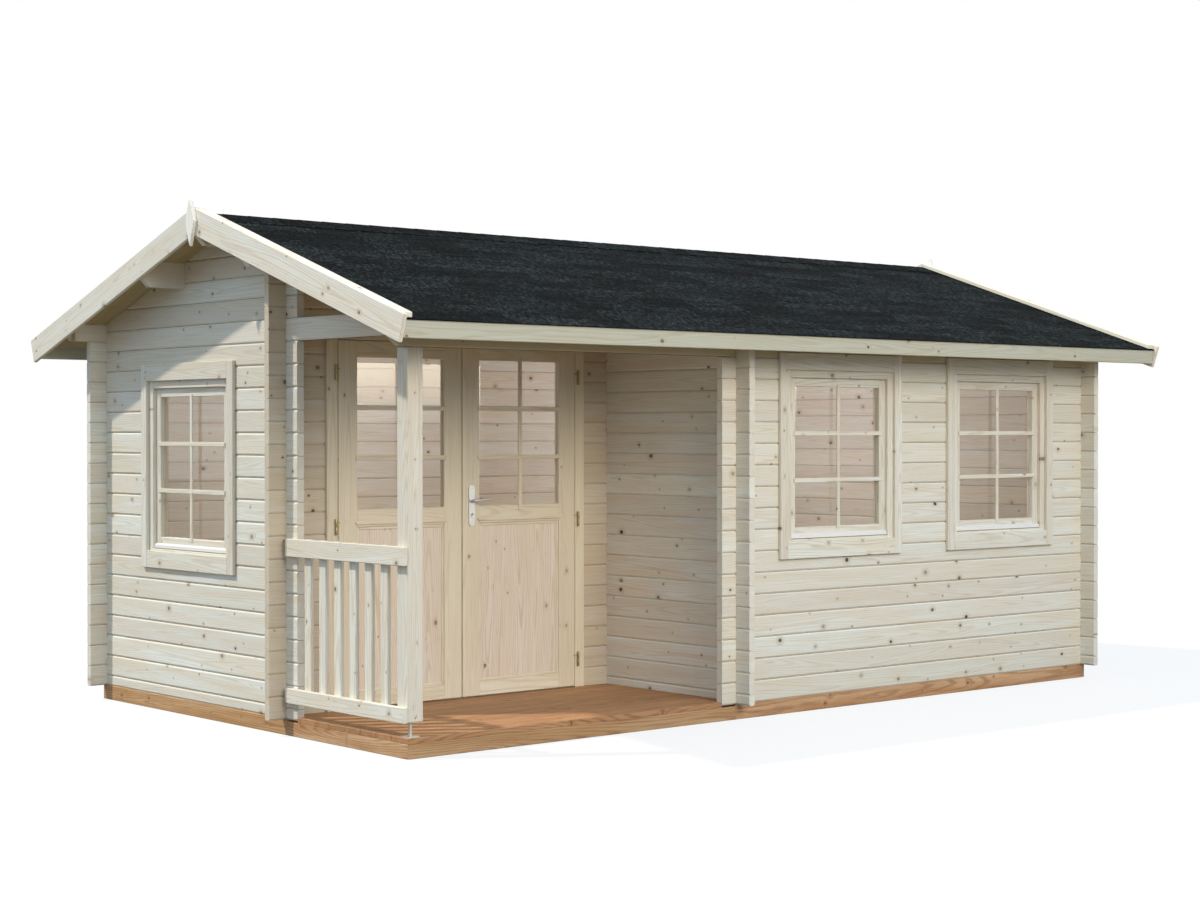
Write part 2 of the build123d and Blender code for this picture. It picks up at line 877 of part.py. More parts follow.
pieces = {
    "long_sills": long_sills,
    "porch_front_beam": porch_front_beam,
    "cross_beams": cross_beams,
    "porch_deck": porch_deck,
    "room_floor_main": room_floor_main,
    "room_floor_rear": room_floor_rear,
    "rear_wall": rear_wall,
    "front_wall_lower": front_wall_lower,
    "front_wall_piers": front_wall_piers,
    "front_top_log": front_top_log,
    "right_gable_wall": right_gable_wall,
    "left_gable_lower": left_gable_lower,
    "left_gable_piers": left_gable_piers,
    "left_gable_head": left_gable_head,
    "left_tie_log": left_tie_log,
    "left_gable_top": left_gable_top,
    "porch_side_wall": porch_side_wall,
    "porch_back_wall_sides": porch_back_wall_sides,
    "porch_back_wall_head": porch_back_wall_head,
    "purlins": purlins,
    "roof_boards_front": roof_boards_front,
    "roof_boards_rear": roof_boards_rear,
    "roof_covering_front": roof_covering_front,
    "roof_covering_rear": roof_covering_rear,
    "eave_fascias": eave_fascias,
    "left_bargeboards": left_bargeboards,
    "right_bargeboards": right_bargeboards,
    "left_verge_cap": left_verge_cap,
    "right_verge_cap": right_verge_cap,
    "finials": finials,
    "porch_post": porch_post,
    "post_foot": post_foot,
    "porch_railing": porch_railing,
    "window_frames": window_frames,
    "window_sashes": window_sashes,
    "window_glass": window_glass,
    "door_frame": door_frame,
    "left_door_leaf": left_door_leaf,
    "right_door_leaf": right_door_leaf,
    "left_door_glass": left_door_glass,
    "right_door_glass": right_door_glass,
    "hinge_frame_halves": hinge_frame_halves,
    "left_hinge_halves": left_hinge_halves,
    "right_hinge_halves": right_hinge_halves,
    "handle_plates": handle_plates,
    "lever_handle": lever_handle,
}
for name, piece in pieces.items():
    piece.part.label = name
    export_step(piece.part, f"parts/{name}.step")
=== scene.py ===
import math
import random
from functools import partial

import bmesh
import bpy
from mathutils import Matrix, Vector


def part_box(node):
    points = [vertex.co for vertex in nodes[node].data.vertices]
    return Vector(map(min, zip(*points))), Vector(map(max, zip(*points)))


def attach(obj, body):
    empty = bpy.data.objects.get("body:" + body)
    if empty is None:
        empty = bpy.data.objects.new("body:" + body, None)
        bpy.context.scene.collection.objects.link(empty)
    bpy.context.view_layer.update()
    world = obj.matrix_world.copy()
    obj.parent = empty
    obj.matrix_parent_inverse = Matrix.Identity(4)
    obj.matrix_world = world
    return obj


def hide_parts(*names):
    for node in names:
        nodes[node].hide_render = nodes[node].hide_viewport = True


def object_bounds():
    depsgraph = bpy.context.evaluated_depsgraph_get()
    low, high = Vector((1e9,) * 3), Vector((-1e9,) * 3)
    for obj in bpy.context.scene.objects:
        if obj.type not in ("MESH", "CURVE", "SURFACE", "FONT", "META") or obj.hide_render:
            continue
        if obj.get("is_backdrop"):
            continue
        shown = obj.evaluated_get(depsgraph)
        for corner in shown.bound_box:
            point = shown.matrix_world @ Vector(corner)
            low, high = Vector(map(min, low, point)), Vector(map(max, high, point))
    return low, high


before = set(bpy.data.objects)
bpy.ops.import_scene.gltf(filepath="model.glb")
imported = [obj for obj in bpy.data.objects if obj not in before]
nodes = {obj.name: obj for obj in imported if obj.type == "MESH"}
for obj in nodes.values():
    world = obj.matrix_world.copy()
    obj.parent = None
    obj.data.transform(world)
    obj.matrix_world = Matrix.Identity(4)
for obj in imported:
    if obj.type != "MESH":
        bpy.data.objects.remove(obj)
cadLow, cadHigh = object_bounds()  # box of the solids, before anything is added
acrossX, acrossY, upward = Vector((1, 0, 0)), Vector((0, 1, 0)), Vector((0, 0, 1))
print("frame loaded,", len(nodes), "nodes")


def linear(code):  # sRGB hex to linear colour
    parts = [int(code[i:i + 2], 16) / 255 for i in (1, 3, 5)]
    return [p / 12.92 if p <= 0.04045 else ((p + 0.055) / 1.055) ** 2.4 for p in parts] + [1]


def feed(node, inputs):  # values, hex colours and links into a node's sockets, by name or in order
    for name, value in inputs.items() if isinstance(inputs, dict) else enumerate(inputs):
        if isinstance(value, bpy.types.Node):
            value = value.outputs[0]
        if isinstance(value, bpy.types.NodeSocket):
            node.id_data.links.new(value, node.inputs[name])
        else:
            node.inputs[name].default_value = linear(value) if isinstance(value, str) else value


def put(tree, kind, inputs=(), **settings):  # one node with its settings and links
    kind, _, operation = kind.partition(" ")  # such as Math MULTIPLY
    node = tree.nodes.new("ShaderNode" + kind)
    if operation:
        node.operation = operation
    for name, value in settings.items():
        setattr(node, name, value)
    feed(node, inputs)
    return node


def startMaterial(name, **sockets):  # a principled material with its even values set on the shader
    material = bpy.data.materials.new(name)
    material.use_nodes = True
    shader = material.node_tree.nodes["Principled BSDF"]
    feed(shader, {socket.replace("_", " "): value for socket, value in sockets.items()})
    return material, partial(put, material.node_tree), shader


def cloudyMaterial(name, shades, grain, detail, rough, **sockets):  # two shades in soft clouds
    material, add, shader = startMaterial(name, **sockets)
    place = add("VectorMath DIVIDE", (add("TexCoord").outputs["Object"], grain))
    clouds = add("TexNoise", {"Vector": place, "Scale": 1, "Detail": detail}).outputs[0]
    colour = add("MixRGB", (clouds, *shades))
    gloss = add("MapRange", {0: clouds, 3: rough[0], 4: rough[1]})
    feed(shader, {"Base Color": colour, "Roughness": gloss})
    return material


# Wood: softwood planed along the grain. Pale earlywood with thin darker growth rings that run along
# the piece and arch where the cut is near the pith, small brown knots, and each piece with a tone of its own.
wood = {
    "knotLong": 0.3, "knotWide": 0.075,  # one knot at most in a cell of this size
    "knotSmall": 0.004, "knotLarge": 0.014, "knotStretch": 0.8, "fewLarge": 2.5, "faintKnot": 0.35,
    "coreReach": 0.6, "haloReach": 3, "haloShare": 0.4,
    "ringSpacing": 0.01,  # drawn about three times as coarse as real rings, so that they show
    "fibreLong": 0.22, "fibreWide": 0.0045, "rippleLong": 0.3, "rippleWide": 0.05, "cloudLong": 0.6,
    "cloudWide": 0.05, "wanderLong": 1.8, "wanderSide": 0.055, "pithNear": 0.0128, "pithFar": 0.0576,
    "taper": 0.012, "rippleDepth": 0.009, "knotPush": 0.008, "reliefDepth": 0.0006, "reliefStrength": 0.3,
    "slide": 60, "lanes": 70, "tones": 500,  # how far pieces are moved apart in the pattern
}


def woodMaterial(name, look, run=None):
    material, add, shader = startMaterial(name, Specular_IOR_Level=look["shine"])
    if run is None:  # planks carry their own grain coordinates and a number each
        grain = add("Attribute", attribute_name="grain")
        along, across, deep = add("SeparateXYZ", [grain.outputs["Vector"]]).outputs
        number = add("Attribute", attribute_name="tone").outputs["Fac"]
        chance = add("TexWhiteNoise", {"W": number}, noise_dimensions="1D")
    else:  # logs or boards stacked side by side, told apart by where they lie
        split = add("SeparateXYZ", [add("TexCoord").outputs["Object"]])
        along, stacked, thick = (split.outputs["XYZ".index(axis)] for axis in run["axes"])
        fromStart = add("Math SUBTRACT", (stacked, run["start"]))
        count = add("Math DIVIDE", (fromStart, run["pitch"]))
        course = add("Math FLOOR", [count])
        within = add("Math SUBTRACT", (count, course))
        middle = add("Math SUBTRACT", (within, 0.5))
        across = add("Math MULTIPLY", (middle, run["pitch"]))
        deep = add("Math SUBTRACT", (thick, run["face"]))
        key = add("CombineXYZ", (course, run["seed"]))
        chance = add("TexWhiteNoise", {"Vector": key}, noise_dimensions="2D")
    first, second, third = add("SeparateColor", [chance.outputs["Color"]]).outputs
    shift = add("Math MULTIPLY_ADD", (third, wood["slide"], along))
    place = add("CombineXYZ", (shift, across, deep))

    # knots: the nearest cell point, measured in metres and stretched a little along the grain
    lane = add("CombineXYZ", {1: add("Math MULTIPLY", (second, wood["lanes"]))})
    perCell = (1 / wood["knotLong"], 1 / wood["knotWide"], 0)
    cells = add("VectorMath MULTIPLY_ADD", (place, perCell, lane))
    nearest = add("TexVoronoi", {"Vector": cells, "Scale": 1}, voronoi_dimensions="2D")
    gap = add("VectorMath SUBTRACT", (cells, nearest.outputs["Position"]))
    cellSize = (wood["knotStretch"] * wood["knotLong"], wood["knotWide"], 0)
    apart = add("VectorMath MULTIPLY", (gap, cellSize))
    reach = add("VectorMath LENGTH", [apart]).outputs["Value"]
    draw, soundness = add("SeparateColor", [nearest.outputs["Color"]]).outputs[:2]
    kept = add("Math GREATER_THAN", (draw, 1 - look["knots"]))
    rank = add("MapRange", (draw, 1 - look["knots"], 1))
    bulk = add("Math POWER", (rank, wood["fewLarge"]))
    size = add("MapRange", {0: bulk, 3: wood["knotSmall"], 4: wood["knotLarge"]})
    radius = add("Math MULTIPLY", (size, kept))
    core = add("Math MULTIPLY", (radius, wood["coreReach"]))
    outskirts = add("Math MULTIPLY", (radius, wood["haloReach"]))
    knot = add("MapRange", (reach, radius, core), interpolation_type="SMOOTHSTEP")
    halo = add("MapRange", (reach, outskirts, core), interpolation_type="SMOOTHSTEP")

    # noise stretched along the grain: fibres, ripples in the rings, clouds of tone and the pith's slow wander
    noises = {}
    for kind, detail in (("fibre", 3), ("ripple", 2), ("cloud", 2), ("wander", 1)):
        perWidth = 0 if kind == "wander" else 1 / wood[kind + "Wide"]
        stretched = add("VectorMath MULTIPLY", (place, (1 / wood[kind + "Long"], perWidth, perWidth)))
        noises[kind] = add("TexNoise", {"Vector": stretched, "Scale": 1, "Detail": detail, "Roughness": 0.6})
    fibre, ripple, cloud = (noises[kind].outputs[0] for kind in ("fibre", "ripple", "cloud"))

    # growth rings round the pith, pushed aside at the knots; noise runs from about 0.3 to 0.7
    wanders = add("SeparateColor", [noises["wander"].outputs["Color"]]).outputs
    sideways = add("MapRange", (wanders[0], 0.3, 0.7, -wood["wanderSide"], wood["wanderSide"]))
    behind = add("MapRange", (wanders[1], 0.3, 0.7, wood["pithNear"], wood["pithFar"]))
    fromPith = add("CombineXYZ", (add("Math SUBTRACT", (across, sideways)), add("Math ADD", (deep, behind))))
    distance = add("VectorMath LENGTH", [fromPith]).outputs["Value"]
    bent = add("Math MULTIPLY_ADD", (ripple, wood["rippleDepth"], distance))
    tapered = add("Math MULTIPLY_ADD", (shift, wood["taper"], bent))
    pushed = add("Math MULTIPLY_ADD", (halo, wood["knotPush"], tapered))
    turns = add("Math MULTIPLY", (pushed, 2 * math.pi / wood["ringSpacing"]))
    wave = add("Math SINE", [turns])
    ring = add("MapRange", (wave, -0.1, 1), interpolation_type="SMOOTHERSTEP")
    figure = add("MapRange", (fibre, 0.3, 0.7, 0.2, 1))
    drawn = add("Math MULTIPLY", (ring, figure))

    # colour from the ground up: clouds, the piece's own tint, rings, fibres, knots and its depth of tone
    darkness = add("MapRange", {0: soundness, 3: wood["faintKnot"], 4: 1})
    shares = ((add("MapRange", (cloud, 0.35, 0.65)), "warm"),
              (add("Math MULTIPLY", (first, look["tintShare"])), "tint"),
              (add("Math MULTIPLY", (drawn, look["ringShare"])), "ring"),
              (add("MapRange", (fibre, 0.5, 0.85, 0, look["fibreShare"])), "ring"),
              (add("Math MULTIPLY", (halo, wood["haloShare"])), "halo"),
              (add("Math MULTIPLY", (knot, darkness)), "knot"))
    layer = look["pale"]
    for share, colour in shares:
        layer = add("MixRGB", (share, layer, look[colour]))
    value = add("MapRange", {0: second, 3: 1 - look["spread"], 4: 1 + 0.6 * look["spread"]})
    hue = add("MapRange", {0: third, 3: 0.5 - look["hues"], 4: 0.5 + look["hues"]})
    layer = add("HueSaturation", {"Hue": hue, "Value": value, "Color": layer})
    if run and "joint" in run:  # painted shade: a deep brown line where two courses meet, for the shade in the gap between them
        fromMiddle = add("Math ABSOLUTE", [middle])
        edge = add("Math GREATER_THAN", (fromMiddle, 0.5 - run["joint"] / run["pitch"]))
        layer = add("MixRGB", (edge, layer, look["knot"]))
    gloss = add("MapRange", {0: fibre, 3: look["rough"] - 0.08, 4: look["rough"] + 0.1})
    relief = add("Math MULTIPLY_ADD", (fibre, 0.6, ring))
    bump = add("Bump", {"Strength": wood["reliefStrength"], "Distance": wood["reliefDepth"],
                        "Height": relief})
    feed(shader, {"Base Color": layer, "Roughness": gloss, "Normal": bump})
    return material


spruceLook = {"pale": "#e9e8dc", "warm": "#e5d9c3", "tint": "#dacfbb", "tintShare": 0.6, "ring": "#bba57e",
              "ringShare": 0.36, "fibreShare": 0.22, "halo": "#b89d78", "knot": "#453424", "knots": 0.42,
              "spread": 0.045, "hues": 0.004, "rough": 0.68, "shine": 0.25}
boardLook = dict(spruceLook, ringShare=0.54, fibreShare=0.3, knots=0.6)
joineryLook = dict(spruceLook, pale="#ebe2cb", warm="#e5d8bd", tint="#dfd0b3", ring="#bda67c", ringShare=0.46,
                   fibreShare=0.28, knots=0.14, spread=0.03)
panelLook = dict(joineryLook, pale="#ece1d1", warm="#e7d7c2", tint="#e1d0b9", ring="#bd9f7a", ringShare=0.6,
                 fibreShare=0.3, knots=0.55)
finialLook = dict(spruceLook, pale="#f5f4ec", warm="#f1ebdd", tint="#eee7d8", knots=0)
# painted shade: a darker, warmer copy of the spruce for the porch's back wall, which stands in the porch's
# shade
porchShadeLook = dict(spruceLook, pale="#d6ccb9", warm="#d1c0a5", tint="#c7b69d")
# painted shade: a darker, yellower copy of the spruce for the log under the front eave
eaveShadeLook = dict(spruceLook, pale="#d8ceb2", warm="#d0c2a0", tint="#c8b994")
# painted shade: a darker, greener copy of the spruce for the eave fascias
fasciaShadeLook = dict(spruceLook, pale="#c6c9b9", warm="#c2bca4", tint="#b9b39e", ring="#9f8f6a", ringShare=0.48,
                  fibreShare=0.26)
# painted shade: a darker, olive copy of the spruce for the roof boards, seen only from below
ceilingShadeLook = dict(spruceLook, pale="#c4b48e", warm="#b8a57c", tint="#ad9a70", ring="#8d7448")
pineLook = dict(spruceLook, pale="#c3936a", warm="#a97a50", tint="#c99d73", ring="#74492a", ringShare=0.72,
                fibreShare=0.32, halo="#805634", knot="#4a301d", knots=0.3, spread=0.13, rough=0.6)
beamLook = dict(pineLook, pale="#d3ac81", warm="#b28050", tint="#c5986b", ring="#7a4a25", ringShare=0.7,
                knots=0.55)
boardSpruce = woodMaterial("planedSpruceBoards", boardLook)
fasciaShadeSpruce = woodMaterial("planedSpruceFascias", fasciaShadeLook)
finialSpruce = woodMaterial("palePlanedSpruce", finialLook)
joinerySpruce = woodMaterial("finePlanedSpruce", joineryLook)
roofShadeSpruce = woodMaterial("spruceRoofBoards", ceilingShadeLook)
panelSpruce = woodMaterial("sprucePanelBoards", panelLook)
deckPine = woodMaterial("impregnatedPineDeck", pineLook)
beamPine = woodMaterial("impregnatedPineBeams", beamLook)
print("wood materials made")


def meshOf(node):  # a merged copy of a solid's mesh, to be read only
    copy = bmesh.new()
    copy.from_mesh(nodes[node].data)
    bmesh.ops.remove_doubles(copy, verts=copy.verts[:], dist=1e-5)
    return copy


def solidBoxes(node):  # lowest and highest corner of each separate solid in a node
    copy = meshOf(node)
    left, boxes = set(copy.verts), []
    while left:
        stack, island = [left.pop()], []
        while stack:
            vert = stack.pop()
            island.append(vert.co.copy())
            for edge in vert.link_edges:
                other = edge.other_vert(vert)
                if other in left:
                    left.remove(other)
                    stack.append(other)
        boxes.append((Vector(map(min, *island)), Vector(map(max, *island))))
    copy.free()
    return sorted(boxes, key=lambda box: tuple(round(c, 4) for c in box[0]))


def dress(material, *members):  # solids that stay get a better material
    for node in members:
        nodes[node].data.materials.clear()
        nodes[node].data.materials.append(material)


def addPiece(mesh, name, material, body, stands=()):
    data = bpy.data.meshes.new(name)
    mesh.to_mesh(data)
    mesh.free()
    piece = bpy.data.objects.new(name, data)
    bpy.context.scene.collection.objects.link(piece)
    data.materials.append(material)
    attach(piece, body)
    if stands:
        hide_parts(*stands)


def push(mesh, outline, depth):  # a closed solid from an outline pushed along a vector
    face = mesh.faces.new([mesh.verts.new(point) for point in outline])
    made = bmesh.ops.extrude_face_region(mesh, geom=[face])["geom"]
    moved = [part for part in made if isinstance(part, bmesh.types.BMVert)]
    bmesh.ops.translate(mesh, verts=moved, vec=depth)
    return {f for v in moved for f in v.link_faces} | {face}


def bar(low, high, run):  # a squared plank between two corners, with the grain along run
    low, high = Vector(map(min, low, high)), Vector(map(max, low, high))
    outline = [(low.x, low.y, low.z), (high.x, low.y, low.z), (high.x, high.y, low.z), (low.x, high.y, low.z)]
    return outline, upward * (high.z - low.z), run


def grainAxes(outline, depth, run):  # the plank's wide and thin directions, square to its grain
    points = [Vector(p) for p in outline] + [Vector(p) + depth for p in outline]

    def span(axis):
        return max(p.dot(axis) for p in points) - min(p.dot(axis) for p in points)

    axes = [axis for axis in (acrossX, acrossY, upward, run.cross(acrossX)) if abs(axis.dot(run)) < 0.5]
    wide = max([(axis - run * axis.dot(run)).normalized() for axis in axes], key=span)
    return wide, run.cross(wide)


def profiled(low, high, profile, run):  # a plank with its profile in y and z, from one x to the other
    return [Vector((low.x, y, z)) for y, z in profile], acrossX * (high.x - low.x), run


def plankPiece(name, planks, material, body, stands, edge, seed):
    mesh = bmesh.new()
    owner = mesh.faces.layers.int.new("plank")
    for index, (outline, depth, run) in enumerate(planks):
        for face in push(mesh, outline, depth):
            face[owner] = index
    bmesh.ops.recalc_face_normals(mesh, faces=mesh.faces[:])
    bmesh.ops.bevel(mesh, geom=mesh.edges[:], offset=edge, offset_type="OFFSET", affect="EDGES", segments=1,
                    profile=0.5, material=-1, clamp_overlap=True)
    draw = random.Random(seed)
    grains = []  # each plank's middle, grain directions and number
    for outline, depth, run in planks:
        middle = sum((Vector(p) for p in outline), Vector()) / len(outline) + depth / 2
        grains.append((middle, run, *grainAxes(outline, depth, run), draw.random() * wood["tones"]))
    grain = mesh.verts.layers.float_vector.new("grain")
    tone = mesh.verts.layers.float.new("tone")
    for face in mesh.faces:
        middle, run, wide, thin, number = grains[face[owner]]
        for vert in face.verts:
            place = vert.co - middle
            vert[grain] = (place.dot(run) + number, place.dot(wide), place.dot(thin))
            vert[tone] = number
    mesh.faces.layers.int.remove(owner)
    addPiece(mesh, name, material, body, stands)


# Log walls: the solids stay, with the courses told apart by their height
logWalls = {
    # the joint values are half widths of a painted shade line in the gap between courses
    "courseHeight": 0.114, "firstJoint": 0.08, "joint": 0.0009, "porchJointShade": 0.0004,
    "alongX": {"front": ("front_wall_lower", "front_wall_piers"), "frontEave": ("front_top_log",),
               "rear": ("rear_wall",), "porchBack": ("porch_back_wall_sides", "porch_back_wall_head")},
    "alongY": {"left": ("left_gable_lower", "left_gable_piers", "left_gable_head", "left_tie_log",
                        "left_gable_top"), "right": ("right_gable_wall",), "porchSide": ("porch_side_wall",)},
    # painted shade: the porch's back wall and the log under the front eave get darker copies of the spruce
    "looks": {"porchBack": porchShadeLook, "frontEave": eaveShadeLook},
}
for direction, axes, stagger in (("alongX", "XZY", 0), ("alongY", "YZX", 0.5)):
    for seed, (side, members) in enumerate(logWalls[direction].items()):
        low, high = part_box(members[0])
        middle = (low + high) / 2
        run = {"axes": axes, "start": logWalls["firstJoint"] + stagger * logWalls["courseHeight"],
               "pitch": logWalls["courseHeight"], "face": middle["XYZ".index(axes[2])],
               "seed": seed + 10 * stagger, "joint": logWalls["porchJointShade" if "porch" in side else "joint"]}
        look = logWalls["looks"].get(side, spruceLook)
        dress(woodMaterial("spruceLogs" + side[0].upper() + side[1:], look, run), *members)
print("log walls dressed")

# Base beams: impregnated timbers, in place of the plain ones
base = {"edge": 0.0025, "width": 0.07, "sideWidth": 0.063, "sillTop": 0.08, "cornerReach": 0.5}
planks = []
for node, run in (("long_sills", acrossX), ("porch_front_beam", acrossX), ("cross_beams", acrossY)):
    for low, high in solidBoxes(node):
        broad = run == acrossX or high.x - low.x > base["sideWidth"]
        atLeft = broad and low.x < cadLow.x + base["cornerReach"]
        mitred = atLeft and high.z < base["sillTop"]  # the porch beams meet at a mitre
        if atLeft and run == acrossX and not mitred:  # butts against the side beam
            low.x += base["width"]
        elif atLeft and run == acrossY:  # side beam, through to the corners
            low.y -= base["width"]
            high.y += base["width"] if high.y > 0 else 0
        outline, rise, run = bar(low, high, run)
        if mitred:
            outline[3 if run == acrossX else 1] = (low.x + base["width"], low.y + base["width"], low.z)
        planks.append((outline, rise, run))
plankPiece("baseBeams", planks, beamPine, "cabin",
           ("long_sills", "porch_front_beam", "cross_beams"), base["edge"], 5)

# Purlins and room floor: solids that stay
# the floor joint value is half the width of a painted shade line in the gap between boards
inside = {"start": -2, "purlinPitch": 0.4, "purlinHeight": 2.2, "floorPitch": 0.09, "floorHeight": 0.09,
          "floorJointShade": 0.0007}
purlinRun = {"axes": "XYZ", "start": inside["start"], "pitch": inside["purlinPitch"],
             "face": inside["purlinHeight"], "seed": 5}
floorRun = {"axes": "XYZ", "start": inside["start"], "pitch": inside["floorPitch"],
            "face": inside["floorHeight"], "seed": 6, "joint": inside["floorJointShade"]}
dress(woodMaterial("sprucePurlins", spruceLook, purlinRun), "purlins")
dress(woodMaterial("spruceFloorBoards", joineryLook, floorRun), "room_floor_main", "room_floor_rear")

# Roof boards: tongued boards from ridge to eave, seen from below at the eaves and in the porch, in a darker
# copy of the spruce that paints in their shade
roof = {"pitch": math.radians(18.5), "boardWidth": 0.096, "boardJoint": 0.0015}
steep = 1 / math.cos(roof["pitch"])
slope = math.tan(roof["pitch"])
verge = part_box("roof_boards_front")[0].x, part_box("roof_boards_front")[1].x
slopes = ((-1, "Front"), (1, "Rear"))


def downRoof(side):  # along a slope, from the ridge to the eave
    return Vector((0, side * math.cos(roof["pitch"]), -math.sin(roof["pitch"])))


def offRoof(side):  # square to a slope, away from it
    return Vector((0, side * math.sin(roof["pitch"]), math.cos(roof["pitch"])))


def slopeProfile(low, high, side):  # a layer on one slope, from the ridge to the eave
    fall = high.y * slope
    return (0, low.z + fall), (side * high.y, low.z), (side * high.y, high.z - fall), (0, high.z)


for side, name in slopes:
    node = "roof_boards_" + name.lower()
    low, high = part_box(node)
    high.y = max(abs(low.y), abs(high.y))
    count = round((verge[1] - verge[0]) / roof["boardWidth"])
    width = (verge[1] - verge[0]) / count
    planks = []
    for n in range(count):
        left, right = (acrossX * (verge[0] + k * width) for k in (n, n + 1))
        planks.append(profiled(left, right, slopeProfile(low, high, side), downRoof(side)))
    plankPiece("roofBoards" + name, planks, roofShadeSpruce, "cabin", (node,),
               roof["boardJoint"], 11 + side)
print("roof boards laid")

# Mineral felt shingles: black bitumen with charcoal grit, matt, each strip a little lighter or darker.
# The grit is drawn in flecks about ten times as coarse as real grains, so that they show.
felt = {"exposure": 0.145, "underlay": 0.003, "bed": 0.0027, "head": 0.0035, "butt": 0.004, "waver": 0.0006,
        "narrow": 0.16, "broad": 0.42, "slit": 0.003, "lap": 0.03, "least": 0.03, "grit": 0.004,
        "fleck": (0.013, 0.03, 0.03), "streak": (0.7, 0.09, 0.09), "slack": 0.001, "reliefDepth": 0.0015}
feltMaterial, add, feltShader = startMaterial("mineralFelt", Specular_IOR_Level=0.03)
feltPlace = add("TexCoord").outputs["Object"]
feltNoises = []
for size, detail, rough in ((felt["streak"], 4, 0.6), (felt["fleck"], 3, 0.7), ((felt["grit"],) * 3, 1, 0.5)):
    stretched = add("VectorMath DIVIDE", (feltPlace, size))
    noise = add("TexNoise", {"Vector": stretched, "Scale": 1, "Detail": detail, "Roughness": rough})
    feltNoises.append(noise.outputs[0])
streaks, flecks, grit = feltNoises
stripTone = add("Attribute", attribute_name="tone").outputs["Fac"]
mottled = add("MapRange", (streaks, 0.4, 0.62))
stripShare = add("Math MULTIPLY", (stripTone, 0.35))
shade = add("Math MULTIPLY_ADD", (mottled, 0.65, stripShare))
fleckShare = add("MapRange", (flecks, 0.51, 0.61, 0, 0.95))
patches = add("MapRange", {0: mottled, 3: 0.6, 4: 1})
stripGrit = add("MapRange", {0: stripTone, 3: 0.3, 4: 1.5})  # some strips carry more grit than others
patchy = add("Math MULTIPLY", (fleckShare, patches))
gritty = add("Math MULTIPLY", (patchy, stripGrit))
gritShare = add("MapRange", (grit, 0.56, 0.7, 0, 0.2))
feltColour = "#010202"
for share, colour in ((shade, "#101415"), (gritty, "#363c3c"), (gritShare, "#4b5154")):
    feltColour = add("MixRGB", (share, feltColour, colour))
feltRough = add("MapRange", {0: grit, 3: 0.82, 4: 1})
feltBump = add("Bump", {"Strength": 0.6, "Distance": felt["reliefDepth"], "Height": grit})
feed(feltShader, {"Base Color": feltColour, "Roughness": feltRough, "Normal": feltBump})


def pushFelt(mesh, outline, depth, number):  # a strip of felt that carries its own number
    tone = mesh.verts.layers.float["tone"]
    for face in push(mesh, outline, depth):
        for vert in face.verts:
            vert[tone] = number


for side, name in slopes:
    node = "roof_covering_" + name.lower()
    low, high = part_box(node)
    eave = max(abs(low.y), abs(high.y))
    ridge = upward * (low.z + eave * slope)
    outward, down = offRoof(side), downRoof(side)
    draw = random.Random(31 + side)
    mesh = bmesh.new()
    mesh.verts.layers.float.new("tone")
    sheetEnd = ridge + down * eave * steep
    sheet = [ridge, sheetEnd, sheetEnd + outward * felt["underlay"],
             ridge + upward * felt["underlay"] * steep]
    push(mesh, [point + acrossX * verge[0] for point in sheet], acrossX * (verge[1] - verge[0]))
    butt = eave * steep
    while butt > felt["least"]:
        head = max(butt - felt["exposure"] - felt["lap"], 0)
        x = verge[0]
        end = x + draw.uniform(felt["narrow"], felt["broad"])
        while x < verge[1] - felt["slack"]:
            end = end if verge[1] - end > felt["narrow"] else verge[1]
            top, foot = acrossX * x + ridge + down * head, acrossX * x + ridge + down * butt
            waver = draw.uniform(-felt["waver"], felt["waver"])
            shingle = [top + outward * felt["bed"], foot + outward * felt["bed"],
                       foot + outward * (felt["butt"] + waver), top + outward * felt["head"]]
            pushFelt(mesh, shingle, acrossX * (end - x - felt["slit"]), draw.random())
            x, end = end, end + draw.uniform(felt["narrow"], felt["broad"])
        butt -= felt["exposure"]
    bmesh.ops.recalc_face_normals(mesh, faces=mesh.faces[:])
    addPiece(mesh, "feltShingles" + name, feltMaterial, "cabin", (node,))

# Ridge caps: felt strips bent over the ridge, each lapping the next
ridgeCap = {"reach": 0.15, "exposure": 0.15, "lap": 0.05, "thick": 0.0025, "lift": 0.0052, "tilt": 0.002,
            "least": 0.01}
draw = random.Random(7)
mesh = bmesh.new()
mesh.verts.layers.float.new("tone")
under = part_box("roof_covering_front")[0].z + eave * slope + ridgeCap["lift"] * steep
over = under + ridgeCap["thick"] * steep
reach = ridgeCap["reach"]
x = verge[0]
while x < verge[1] - ridgeCap["least"]:
    end = min(x + ridgeCap["exposure"] + ridgeCap["lap"], verge[1])
    profile = ((-reach, under), (0, under), (reach, under), (reach, over), (0, over), (-reach, over))
    outline = [Vector((x, y, height - abs(y) * slope)) for y, height in profile]
    pushFelt(mesh, outline, Vector((end - x, 0, -ridgeCap["tilt"])), draw.random())
    x += ridgeCap["exposure"]
bmesh.ops.recalc_face_normals(mesh, faces=mesh.faces[:])
addPiece(mesh, "feltRidgeCaps", feltMaterial, "cabin")
print("felt laid")

